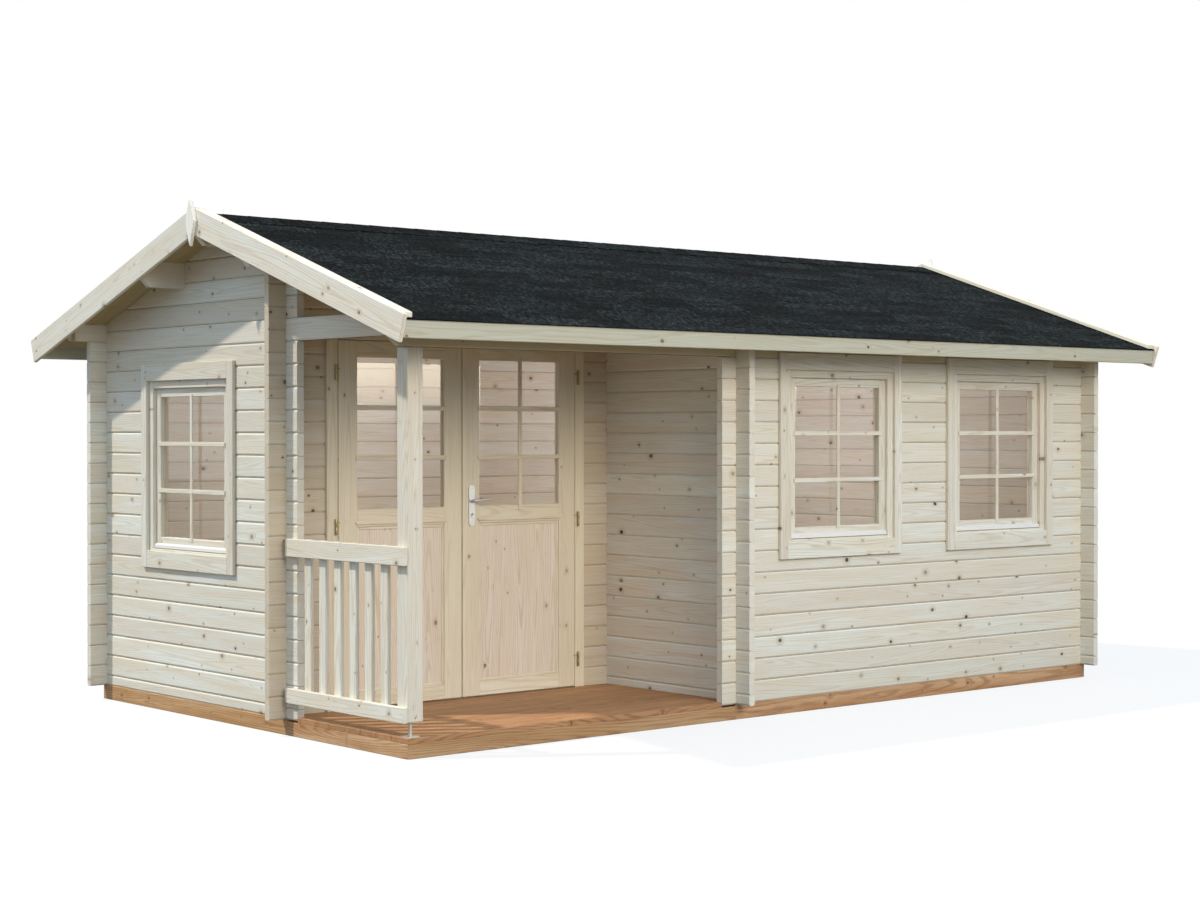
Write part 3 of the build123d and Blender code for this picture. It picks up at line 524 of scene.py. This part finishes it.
# Bargeboards, verge caps, fascias and finials: planed boards with eased edges
trim = {"edge": 0.003, "boardDepth": 0.132, "finialWaist": 0.55, "finialTip": 0.014}
for gable, seed in (("left", 25), ("right", 26)):
    node = gable + "_bargeboards"
    planks = []
    for low, high in solidBoxes(node):
        side = 1 if low.y + high.y > 0 else -1
        near, far = sorted((low.y, high.y), key=abs)
        topEnd = Vector((0, far, high.z - (abs(far) - abs(near)) * slope))
        footEnd = topEnd - offRoof(side) * trim["boardDepth"]
        profile = ((near, high.z), topEnd.yz, footEnd.yz, (near, high.z - trim["boardDepth"] * steep))
        planks.append(profiled(low, high, profile, downRoof(side)))
    plankPiece(gable + "Bargeboards", planks, boardSpruce, "cabin", (node,), trim["edge"],
               seed)
for gable, seed in (("left", 35), ("right", 36)):
    node = gable + "_verge_cap"
    low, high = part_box(node)
    planks = [profiled(low, high, slopeProfile(low, high, side), downRoof(side)) for side, _ in slopes]
    plankPiece(gable + "VergeCap", planks, boardSpruce, "cabin", (node,), trim["edge"], seed)
planks = []
for low, high in solidBoxes("eave_fascias"):
    inner, outer = sorted((low.y, high.y), key=abs)
    outerTop = high.z - (high.y - low.y) * slope
    profile = ((inner, low.z), (outer, low.z), (outer, outerTop), (inner, high.z))
    planks.append(profiled(low, high, profile, acrossX))
plankPiece("eaveFascias", planks, fasciaShadeSpruce, "cabin", ("eave_fascias",), trim["edge"], 41)
planks = []
for low, high in solidBoxes("finials"):
    waist = low.z + (high.z - low.z) * trim["finialWaist"]
    tip = trim["finialTip"] / 2
    profile = ((tip, high.z), (high.y, waist), (0, low.z), (low.y, waist), (-tip, high.z))
    planks.append(profiled(low, high, profile, upward))
plankPiece("finialBoards", planks, finialSpruce, "cabin", ("finials",), trim["edge"], 43)
print("trim boards fixed")

# Porch: post, railing and deck boards
porch = {"postEdge": 0.005, "railThick": 0.028, "topRail": 0.089, "bottomRail": 0.075, "balusters": 6,
         "balusterWidth": 0.058, "balusterMargin": 0.193, "balusterPitch": 0.131, "railEdge": 0.003,
         "deckBoards": 8, "deckGap": 0.0016, "deckEdge": 0.002}
low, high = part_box("porch_post")
plankPiece("porchPost", [bar(low, high, upward)], boardSpruce, "cabin", ("porch_post",),
           porch["postEdge"], 51)
low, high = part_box("porch_railing")
railBack = low.x + porch["railThick"]
planks = [bar((low.x, low.y, high.z - porch["topRail"]), (railBack, high.y, high.z), acrossY),
          bar((low.x, low.y, low.z), (railBack, high.y, low.z + porch["bottomRail"]), acrossY)]
for n in range(porch["balusters"]):
    y = low.y + porch["balusterMargin"] + n * porch["balusterPitch"] - porch["balusterWidth"] / 2
    planks.append(bar((railBack, y, low.z), (high.x, y + porch["balusterWidth"], high.z), upward))
plankPiece("porchRailing", planks, boardSpruce, "cabin", ("porch_railing",),
           porch["railEdge"], 53)
low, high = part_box("porch_deck")
deckCopy = meshOf("porch_deck")
levels = [sorted({round(vert.co[axis], 4) for vert in deckCopy.verts}) for axis in (0, 1)]
deckCopy.free()
rearCut, sideCut = levels[0][1], levels[0][-2]  # where the deck is cut back round the log ends
frontCut, backCut = levels[1][1], levels[1][-2]
width = (high.y - low.y) / porch["deckBoards"]
planks = []
for n in range(porch["deckBoards"]):
    near = low.y + n * width + (porch["deckGap"] / 2 if n else 0)
    far = low.y + (n + 1) * width - (porch["deckGap"] / 2 if n < porch["deckBoards"] - 1 else 0)
    right, left = [(high.x, near), (high.x, far)], [(low.x, far), (low.x, near)]
    if near < frontCut:
        right[:1] = [(sideCut, near), (sideCut, frontCut), (high.x, frontCut)]
    if near >= backCut:
        left = [(rearCut, far), (rearCut, near)]
    elif far > backCut:
        left[:1] = [(rearCut, far), (rearCut, backCut), (low.x, backCut)]
    planks.append(([Vector((x, y, low.z)) for x, y in right + left], upward * (high.z - low.z), acrossX))
plankPiece("deckBoards", planks, deckPine, "cabin", ("porch_deck",), porch["deckEdge"], 57)
print("porch built")

# Clear float glass: bends light a little, mirrors the surroundings at a slant, and lets the lamps through
glass, add, glassShader = startMaterial("clearFloatGlass", Roughness=0.0, IOR=1.45, Transmission_Weight=1.0,
                                        Base_Color="#f7f6f6")
shadowRay = add("LightPath").outputs["Is Shadow Ray"]
through = add("BsdfTransparent", {"Color": "#eef4f2"})
letLight = add("MixShader", (shadowRay, glassShader, through))
feed(glass.node_tree.nodes["Material Output"], {"Surface": letLight})
dress(glass, "window_glass", "left_door_glass", "right_door_glass")

# Cream-coated aluminium: smooth, bright and a little glossy
metal = {"cloud": 0.016667, "bloom": 0.011111, "brushWide": 0.0004, "brushLong": 0.016667,
         "spangle": 0.008333}
coated = cloudyMaterial("creamCoatedAluminium", ("#ebe7e0", "#e1dcd4"), (metal["cloud"],) * 3, 2, (0.3, 0.45),
                        Specular_IOR_Level=0.4)


def onWall(run, outward, face):  # finds points by place along a wall, height and distance from a face
    return lambda along, height, out: run * along + upward * height + outward * (face + out)


def inset(spans, side, foot, top):  # a smaller opening; spans are left, right, foot and top
    return spans[0] + side, spans[1] - side, spans[2] + foot, spans[3] - top


def rim(outer, inner, back, front, run, point):  # stiles at full height, rails between them
    spans = ((outer[0], inner[0], outer[2], outer[3], upward),
             (inner[1], outer[1], outer[2], outer[3], upward),
             (inner[0], inner[1], outer[2], inner[2], run), (inner[0], inner[1], inner[3], outer[3], run))
    return [bar(point(u0, v0, back), point(u1, v1, front), grain) for u0, u1, v0, v1, grain in spans]


def glazingBars(pane, sizes, footLap, front, sign, run, point):  # one upright and two across
    half, lap = sizes["barWidth"] / 2, sizes["barLap"]
    centre, third = (pane[0] + pane[1]) / 2, (pane[3] - pane[2]) / 3
    sunk, proud = front - sign * sizes["barSunk"], front + sign * sizes["barProud"]
    bars = [bar(point(centre - half, pane[2] - footLap, sunk),
                point(centre + half, pane[3] + lap, proud), upward)]
    for n in (1, 2):
        height = pane[2] + n * third
        bars.append(bar(point(pane[0] - lap, height - half, sunk),
                        point(pane[1] + lap, height + half, proud + sign * sizes["crossProud"]), run))
    return bars


# Windows: trim boards, frame, sash and glazing bars, with a weather bar under each sash
window = {"trimThick": 0.02, "trimSide": 0.06, "trimRail": 0.092, "sideLap": 0.04, "lowLap": 0.05,
          "highLap": 0.032, "frameDepth": 0.07, "barWidth": 0.023, "barLap": 0.014, "barProud": 0.006,
          "barSunk": 0.004, "crossProud": 0.002, "edge": 0.002, "weatherHigh": 0.028, "weatherProud": 0.014,
          "weatherRise": 0.01, "weatherLap": 0.003}
woodwork, weather = [], []
for boxes in zip(*(solidBoxes(node) for node in ("window_frames", "window_sashes", "window_glass"))):
    size = boxes[0][1] - boxes[0][0]
    run, outward = (acrossX, -acrossY) if size.x > size.y else (acrossY, -acrossX)
    wallFace = boxes[0][0].dot(outward) - window["trimThick"]  # along outward, at the logs' face
    point = onWall(run, outward, wallFace)
    trimOuter, sashOuter, pane = ((low.dot(run), high.dot(run), low.z, high.z) for low, high in boxes)
    trimInner = inset(trimOuter, window["trimSide"], window["trimRail"], window["trimRail"])
    opening = inset(trimOuter, window["sideLap"], window["lowLap"], window["highLap"])
    sashBack, sashFront = sorted(corner.dot(outward) - wallFace for corner in boxes[1])
    woodwork += rim(trimOuter, trimInner, 0, window["trimThick"], run, point)
    woodwork += rim(opening, sashOuter, -window["frameDepth"], 0, run, point)
    woodwork += rim(sashOuter, pane, sashBack, sashFront, run, point)
    woodwork += glazingBars(pane, window, window["barLap"], sashFront, 1, run, point)
    foot = sashOuter[2] + window["weatherLap"]
    top, nose = foot + window["weatherHigh"], sashFront + window["weatherProud"]
    profile = ((foot, sashFront), (foot, nose), (top - window["weatherRise"], nose), (top, sashFront))
    outline = [point(sashOuter[0], height, out) for height, out in profile]
    weather.append((outline, run * (sashOuter[1] - sashOuter[0]), run))
plankPiece("windowWoodwork", woodwork, boardSpruce, "cabin",
           ("window_frames", "window_sashes"), window["edge"], 61)
plankPiece("windowWeatherBars", weather, coated, "cabin", (), window["edge"], 62)
print("windows framed")

# Double door: framed leaves with boarded panels below and glazing bars above, in a cased frame
door = {"stile": 0.112, "bottomRail": 0.077, "panel": 0.843, "panelBoards": 5, "panelEdge": 0.0012,
        "recess": 0.01, "bead": 0.014, "beadProud": 0.005, "barWidth": 0.024, "barLap": 0.014,
        "barProud": 0.006, "barSunk": 0.004, "crossProud": 0.002, "ledgeLow": 0.012, "ledgeHigh": 0.018,
        "ledgeProud": 0.008, "coverStrip": 0.024, "coverProud": 0.006, "fit": 0.0025, "edge": 0.0025,
        "casing": 0.019, "casingLap": 0.027, "jamb": 0.038, "stop": 0.015, "stopGap": 0.005, "sillGap": 0.006}
point = onWall(acrossX, acrossY, 0)
for side, panelSeed, woodworkSeed in (("left", 89, 75), ("right", 91, 76)):
    low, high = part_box(side + "_door_leaf")
    paneLow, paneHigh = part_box(side + "_door_glass")
    inLeft, inRight = low.x + door["stile"], high.x - door["stile"]
    low.x -= door["fit"]  # planed to a close fit, so that the joints stay fine lines
    high.x += door["fit"]
    high.z += door["fit"]
    panelLow = low.z + door["bottomRail"]
    panelHigh = panelLow + door["panel"]
    planks = [bar(low, (inLeft, high.y, high.z), upward), bar((inRight, low.y, low.z), high, upward)]
    for foot, top in ((low.z, panelLow), (panelHigh, paneLow.z), (paneHigh.z, high.z)):
        planks.append(bar((inLeft, low.y, foot), (inRight, high.y, top), acrossX))
    width = (inRight - inLeft) / door["panelBoards"]
    panelBoards = []
    for n in range(door["panelBoards"]):
        x = inLeft + n * width
        panelBoards.append(bar((x, low.y + door["recess"], panelLow),
                               (x + width, high.y - door["recess"], panelHigh), upward))
    plankPiece(side + "DoorPanel", panelBoards, panelSpruce, side + "_leaf", (),
               door["panelEdge"], panelSeed)
    bead, lap = door["bead"], door["barLap"]
    panel = (inLeft, inRight, panelLow, panelHigh)
    for face, sign in ((low.y, 1), (high.y, -1)):  # beads round the panel, outside and inside
        seat = face + sign * door["recess"]
        front = seat - sign * door["beadProud"]
        planks += rim(panel, inset(panel, bead, bead, bead), seat, front, acrossX, point)
    planks += glazingBars((inLeft, inRight, paneLow.z, paneHigh.z), door, 2 * lap, low.y, -1, acrossX, point)
    ledge = panelHigh + door["ledgeLow"]  # moulding across the middle rail
    planks.append(bar((inLeft - lap, low.y, ledge),
                      (inRight + lap, low.y - door["ledgeProud"], ledge + door["ledgeHigh"]), acrossX))
    if side == "right":  # cover strip along the meeting stile
        planks.append(bar((low.x, low.y - door["coverProud"], low.z),
                          (low.x + door["coverStrip"], low.y, high.z), upward))
    plankPiece(side + "DoorWoodwork", planks, joinerySpruce, side + "_leaf",
               (side + "_door_leaf",), door["edge"], woodworkSeed)
low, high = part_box("door_frame")
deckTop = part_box("porch_deck")[1].z
casingBack = low.y + door["casing"]
jambLeft, jambRight = low.x + door["casingLap"], high.x - door["casingLap"]
clearLeft, clearRight = jambLeft + door["jamb"], jambRight - door["jamb"]
headTop = high.z - door["casingLap"]
headLow = headTop - door["jamb"]
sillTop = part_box("left_door_leaf")[0].z - door["sillGap"]
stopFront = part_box("right_door_leaf")[1].y + door["stopGap"]
planks = [bar((low.x, low.y, deckTop), (clearLeft, casingBack, high.z), upward),
          bar((clearRight, low.y, deckTop), (high.x, casingBack, high.z), upward),
          bar((clearLeft, low.y, headLow), (clearRight, casingBack, high.z), acrossX),
          bar((jambLeft, casingBack, low.z), (clearLeft, high.y, headLow), upward),
          bar((clearRight, casingBack, low.z), (jambRight, high.y, headLow), upward),
          bar((jambLeft, casingBack, headLow), (jambRight, high.y, headTop), acrossX),
          bar((clearLeft, casingBack, low.z), (clearRight, high.y, sillTop), acrossX),
          bar((clearLeft, stopFront, sillTop), (clearLeft + door["stop"], high.y, headLow), upward),
          bar((clearRight - door["stop"], stopFront, sillTop), (clearRight, high.y, headLow), upward),
          bar((clearLeft, stopFront, headLow - door["stop"]), (clearRight, high.y, headLow), acrossX)]
plankPiece("doorCasing", planks, joinerySpruce, "cabin", ("door_frame",), door["edge"], 75)
print("doors framed")

# Zinc-plated steel, passivated: dull olive-grey metal with a faint cloudy bloom
zinc = cloudyMaterial("zincPlatedSteel", ("#998b62", "#b3a57b"), (metal["bloom"],) * 3, 3, (0.35, 0.55),
                      Metallic=1.0)
# Satin nickel: bright cool-grey metal, brushed fine
brush = (metal["brushWide"], metal["brushWide"], metal["brushLong"])
nickel = cloudyMaterial("satinNickel", ("#bfc3c8", "#d8dce0"), brush, 2, (0.34, 0.48), Metallic=0.7)
# Hot-dip galvanised steel: pale grey, in faint spangles
galvanised, add, galvanisedShader = startMaterial("galvanisedSteel", Metallic=0.8, Roughness=0.45)
galvanisedPlace = add("TexCoord").outputs["Object"]
spangles = add("TexVoronoi", {"Vector": galvanisedPlace, "Scale": 1 / metal["spangle"]})
spangleShare = add("SeparateColor", [spangles.outputs["Color"]])
galvanisedColour = add("MixRGB", (spangleShare, "#c6c6c2", "#d8d8d3"))
feed(galvanisedShader, {"Base Color": galvanisedColour})
dress(galvanised, "post_foot")
dress(nickel, "handle_plates")
# Keyhole slot on the lock: a near-black sheet, painted shade standing in for the hollow of the slot
keyholeShade = startMaterial("paintedKeyholeShade", Base_Color="#0c0c0c", Roughness=0.9)[0]

rounding = {"rim": 1.0, "sharp": 0.6}  # angles between faces, in radians


def turned(mesh, radius, start, end, sides, eased=0.0):  # a round bar between two points, with eased rims
    start, end = Vector(start), Vector(end)
    axis = end - start
    seat = Matrix.Translation((start + end) / 2) @ axis.to_track_quat("Z", "Y").to_matrix().to_4x4()
    made = bmesh.ops.create_cone(mesh, cap_ends=True, segments=sides, radius1=radius, radius2=radius,
                                 depth=axis.length, matrix=seat)
    if eased:
        edges = {edge for vert in made["verts"] for edge in vert.link_edges}
        rims = [edge for edge in edges if edge.calc_face_angle(0) > rounding["rim"]]
        bmesh.ops.bevel(mesh, geom=rims, offset=eased, offset_type="OFFSET", affect="EDGES", segments=2,
                        profile=0.5, material=-1, clamp_overlap=True)


def roundOff(mesh):  # smooth shading on the round faces, sharp at the rims
    bmesh.ops.recalc_face_normals(mesh, faces=mesh.faces[:])
    for face in mesh.faces:
        face.smooth = True
    for edge in mesh.edges:
        edge.smooth = edge.calc_face_angle(0) < rounding["sharp"]


# Hinges: turned barrels in halves, the lower on a pin into the casing, the upper on an arm to its leaf
hinge = {"radius": 0.0065, "half": 0.0395, "sides": 20, "eased": 0.0012, "pin": 0.0035, "sunk": 0.014,
         "arm": 0.0016, "armSeat": 0.005, "armReach": 0.03}
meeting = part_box("right_door_leaf")[0].x
for node, body, piece in (("hinge_frame_halves", "cabin", "frameHingeHalves"),
                          ("left_hinge_halves", "left_leaf", "leftHingeHalves"),
                          ("right_hinge_halves", "right_leaf", "rightHingeHalves")):
    mesh = bmesh.new()
    for low, high in solidBoxes(node):
        toRight = (low.x < meeting) != (body == "cabin")  # which way its fixing goes
        x = low.x + hinge["radius"] if toRight else high.x - hinge["radius"]
        axis = Vector((x, low.y + hinge["radius"], low.z))
        turned(mesh, hinge["radius"], axis, axis + upward * hinge["half"], hinge["sides"], hinge["eased"])
        waist = axis + upward * hinge["half"] / 2
        if body == "cabin":
            turned(mesh, hinge["pin"], waist, waist + acrossY * hinge["sunk"], hinge["sides"])
        else:
            waist.y += hinge["armSeat"]
            reach = acrossX * hinge["armReach"] * (1 if toRight else -1)
            turned(mesh, hinge["arm"], waist, waist + reach, hinge["sides"])
    roundOff(mesh)
    addPiece(mesh, piece, zinc, body, (node,))

# Lever handle: a bar on each side that thins and rises to its tip, on a round neck.
# The rings along the bar are reach, rise and half height.
lever = {"rings": ((-0.011, 0, 0.0085), (0.011, 0, 0.0085), (0.035, 0.001, 0.0066), (0.07, 0.004, 0.0056),
                   (0.098, 0.0085, 0.005), (0.114, 0.012, 0.0042)),
         "thick": 0.011, "neck": 0.008, "collar": 0.0125, "collarProud": 0.004, "collarEased": 0.001,
         "play": 0.0006, "sides": 20, "lockDrop": 0.072, "lock": 0.0085, "lockProud": 0.003,
         "lockLong": 0.021, "lockNeck": 0.0051, "eased": 0.0006, "slotWide": 0.0018, "slotHigh": 0.008,
         "slotProud": 0.0004, "screw": 0.004, "screwProud": 0.0015, "screwIn": 0.016}
armLow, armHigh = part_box("lever_handle")
plateLow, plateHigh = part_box("handle_plates")
turnX, turnZ = (plateLow.x + plateHigh.x) / 2, (armLow.z + armHigh.z) / 2
lockZ = turnZ - lever["lockDrop"]
arms, fittings, slotShades = bmesh.new(), bmesh.new(), bmesh.new()
for sign, armFace, plateFace in ((-1, armLow.y, plateLow.y), (1, armHigh.y, plateHigh.y)):
    centre = armFace - sign * lever["thick"] / 2
    before = None
    for index, (reach, rise, half) in enumerate(lever["rings"]):
        seat = (Matrix.Translation((turnX + reach, centre, turnZ + rise))
                @ Matrix.Rotation(math.pi / 2, 4, "Y") @ Matrix.Diagonal((half, lever["thick"] / 2, 1, 1)))
        capped = index in (0, len(lever["rings"]) - 1)
        made = bmesh.ops.create_circle(arms, cap_ends=capped, segments=lever["sides"], radius=1, matrix=seat)
        loop = list({edge for vert in made["verts"] for edge in vert.link_edges})
        if before:
            bmesh.ops.bridge_loops(arms, edges=before + loop)
        before = loop
    neckEnd = plateFace + sign * (lever["collarProud"] + lever["play"])
    turned(arms, lever["neck"], (turnX, centre, turnZ), (turnX, neckEnd, turnZ), lever["sides"])
    for kind, height, eased in (("collar", turnZ, "collarEased"), ("lock", lockZ, "eased"),
                                ("screw", plateLow.z + lever["screwIn"], "eased"),
                                ("screw", plateHigh.z - lever["screwIn"], "eased")):
        front = plateFace + sign * lever[kind + "Proud"]
        turned(fittings, lever[kind], (turnX, plateFace, height), (turnX, front, height), lever["sides"],
               lever[eased])
    lockFace = plateFace + sign * lever["lockProud"]
    slotFace = lockFace + sign * lever["slotProud"]
    blocks = ((fittings, lever["lockNeck"], plateFace, lockFace, lockZ - lever["lockLong"],
               lever["lockLong"]),
              (slotShades, lever["slotWide"] / 2, lockFace, slotFace, lockZ - lever["slotHigh"] / 2,
               lever["slotHigh"]))
    for mesh, half, back, front, foot, tall in blocks:
        outline, rise, _ = bar((turnX - half, back, foot), (turnX + half, front, foot + tall), upward)
        push(mesh, outline, rise)
for mesh in (arms, fittings, slotShades):
    roundOff(mesh)
addPiece(arms, "leverHandles", nickel, "lever", ("lever_handle",))
addPiece(fittings, "handleFittings", nickel, "right_leaf")
# painted shade: the key slots are near-black sheets, not holes
addPiece(slotShades, "keySlotShades", keyholeShade, "right_leaf")
print("metal fitted")

# Stage: pale floor that goes over into the white background
stage = {"size": 50.0, "drop": 0.001, "near": 7.0, "far": 16.0, "floorWhite": 0.8, "tone": "#eeeeec",
         "bounceTone": "#70695e"}  # little light comes back up from below
mesh = bmesh.new()
bmesh.ops.create_grid(mesh, x_segments=1, y_segments=1, size=stage["size"])
floorData = bpy.data.meshes.new("floor")
mesh.to_mesh(floorData)
mesh.free()
floor = bpy.data.objects.new("floor", floorData)
floor.location.z = cadLow.z - stage["drop"]
bpy.context.scene.collection.objects.link(floor)
floor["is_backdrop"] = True
floorMaterial, add, floorShader = startMaterial("paleFloor", Roughness=1.0, Specular_IOR_Level=0.0)
floorRays = add("LightPath").outputs
unseen = add("Math MAXIMUM", (floorRays["Is Diffuse Ray"], floorRays["Is Glossy Ray"]))
bounce = add("MixRGB", (unseen, stage["tone"], stage["bounceTone"]))
feed(floorShader, {"Base Color": bounce})
floorPlace = add("TexCoord").outputs["Object"]
fromMiddle = add("VectorMath LENGTH", [floorPlace]).outputs["Value"]
fade = add("MapRange", (fromMiddle, stage["near"], stage["far"], stage["floorWhite"], 1),
           interpolation_type="SMOOTHSTEP")
seen = add("Math MAXIMUM", (floorRays["Is Camera Ray"], floorRays["Is Transmission Ray"]))
share = add("Math MULTIPLY", (fade, seen))
white = add("Emission", {"Color": "#ffffff", "Strength": 1})
floorMix = add("MixShader", (share, floorShader, white))
feed(floorMaterial.node_tree.nodes["Material Output"], {"Surface": floorMix})
floorData.materials.append(floorMaterial)

# Light: an even white surround, a soft key from the left behind the gable, a broad fill in front,
# a lamp in each part of the room, and a softbox to the right
light = {"surround": 1.04, "skyTint": "#c9e3ff", "key": 2.75, "keyTint": "#fff9ef", "keyAngle": 2.0,
         "keyTravel": (1, -0.65, -1.54), "keyAway": 8, "fill": 1100, "fillTint": "#fff5e8",
         "fillPlace": (-2.4, -14, 6.5), "fillSize": 7, "fillTarget": (0.0, 0, 1.2), "roomSize": 0.4,
         "rooms": (("roomFill", "room_floor_main", 30, "#e8eaff", (0.15, 0.35, 1.6)),
                   ("rearFill", "room_floor_rear", 15, "#f0efff", (0.35, 0, 1.6))),
         "softbox": 1100, "softboxTint": "#fff4d9", "softboxPlace": (13.3, -20.5, 2.95), "softboxWide": 9.0,
         "softboxHigh": 3.0, "softboxFade": 0.5, "softboxTarget": (-1.5, -0.4, 1.7)}
world = bpy.data.worlds.new("surround")
bpy.context.scene.world = world
world.use_nodes = True
add = partial(put, world.node_tree)
skyRays = add("LightPath").outputs
mirrored = add("Math MAXIMUM", (skyRays["Is Camera Ray"], skyRays["Is Glossy Ray"]))
skySeen = add("Math MAXIMUM", (mirrored, skyRays["Is Transmission Ray"]))
strength = add("MapRange", {0: skySeen, 3: light["surround"], 4: 1})
cool = add("MixRGB", (skySeen, light["skyTint"], "#ffffff"))
feed(world.node_tree.nodes["Background"], {"Strength": strength, "Color": cool})


def addLamp(name, kind, energy, tint, place, aim, **settings):
    data = bpy.data.lights.new(name, kind)
    data.energy = energy
    data.color = linear(tint)[:3]
    for key, value in settings.items():
        setattr(data, key, value)
    lamp = bpy.data.objects.new(name, data)
    bpy.context.scene.collection.objects.link(lamp)
    lamp.location = place
    lamp.rotation_mode = "QUATERNION"
    lamp.rotation_quaternion = (Vector(aim) - Vector(place)).to_track_quat("-Z", "Y")
    return lamp


keyPlace = -light["keyAway"] * Vector(light["keyTravel"]).normalized()
addLamp("key", "SUN", light["key"], light["keyTint"], keyPlace, (0, 0, 0),
        angle=math.radians(light["keyAngle"]))
addLamp("fill", "AREA", light["fill"], light["fillTint"], light["fillPlace"], light["fillTarget"],
        shape="DISK", size=light["fillSize"])
for name, node, power, tint, shift in light["rooms"]:
    low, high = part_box(node)
    lamp = addLamp(name, "POINT", power, tint, (low + high) / 2 + Vector(shift), (0, 0, 0),
                   shadow_soft_size=light["roomSize"])
    lamp.visible_camera = lamp.visible_glossy = lamp.visible_transmission = False

# Softbox: seen only as a sheen in the glass and the metal, and fading out below
softbox = addLamp("softbox", "AREA", light["softbox"], light["softboxTint"], light["softboxPlace"],
                  light["softboxTarget"], shape="RECTANGLE", size=light["softboxWide"],
                  size_y=light["softboxHigh"])
softbox.visible_camera = softbox.visible_diffuse = softbox.visible_transmission = False
softbox.data.use_nodes = True
add = partial(put, softbox.data.node_tree)
softPlace = add("SeparateXYZ", [add("NewGeometry").outputs["Parametric"]])
softEdge = add("MapRange", (softPlace.outputs[1], 0, light["softboxFade"]),
               interpolation_type="SMOOTHSTEP")
feed(softbox.data.node_tree.nodes["Emission"], {"Strength": softEdge})

# Camera at the photograph's angle, for an image of 1200 by 900
view = {"place": (-8.216, -9.483, 1.515), "yaw": 40.5155, "pitch": 0.5121, "focal": 2122.4,
        "imageWidth": 1200, "reach": 200}
cameraData = bpy.data.cameras.new("camera")
camera = bpy.data.objects.new("camera", cameraData)
bpy.context.scene.collection.objects.link(camera)
camera.location = view["place"]
camera.rotation_euler = (math.radians(90 - view["pitch"]), 0, -math.radians(view["yaw"]))
cameraData.lens = view["focal"] * cameraData.sensor_width / view["imageWidth"]
cameraData.clip_end = view["reach"]
bpy.context.scene.camera = camera
bpy.context.scene.view_settings.view_transform = "Standard"
print("stage, light and camera set")

boxes = {"cad": [list(cadLow), list(cadHigh)], "visual": [list(corner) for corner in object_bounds()]}
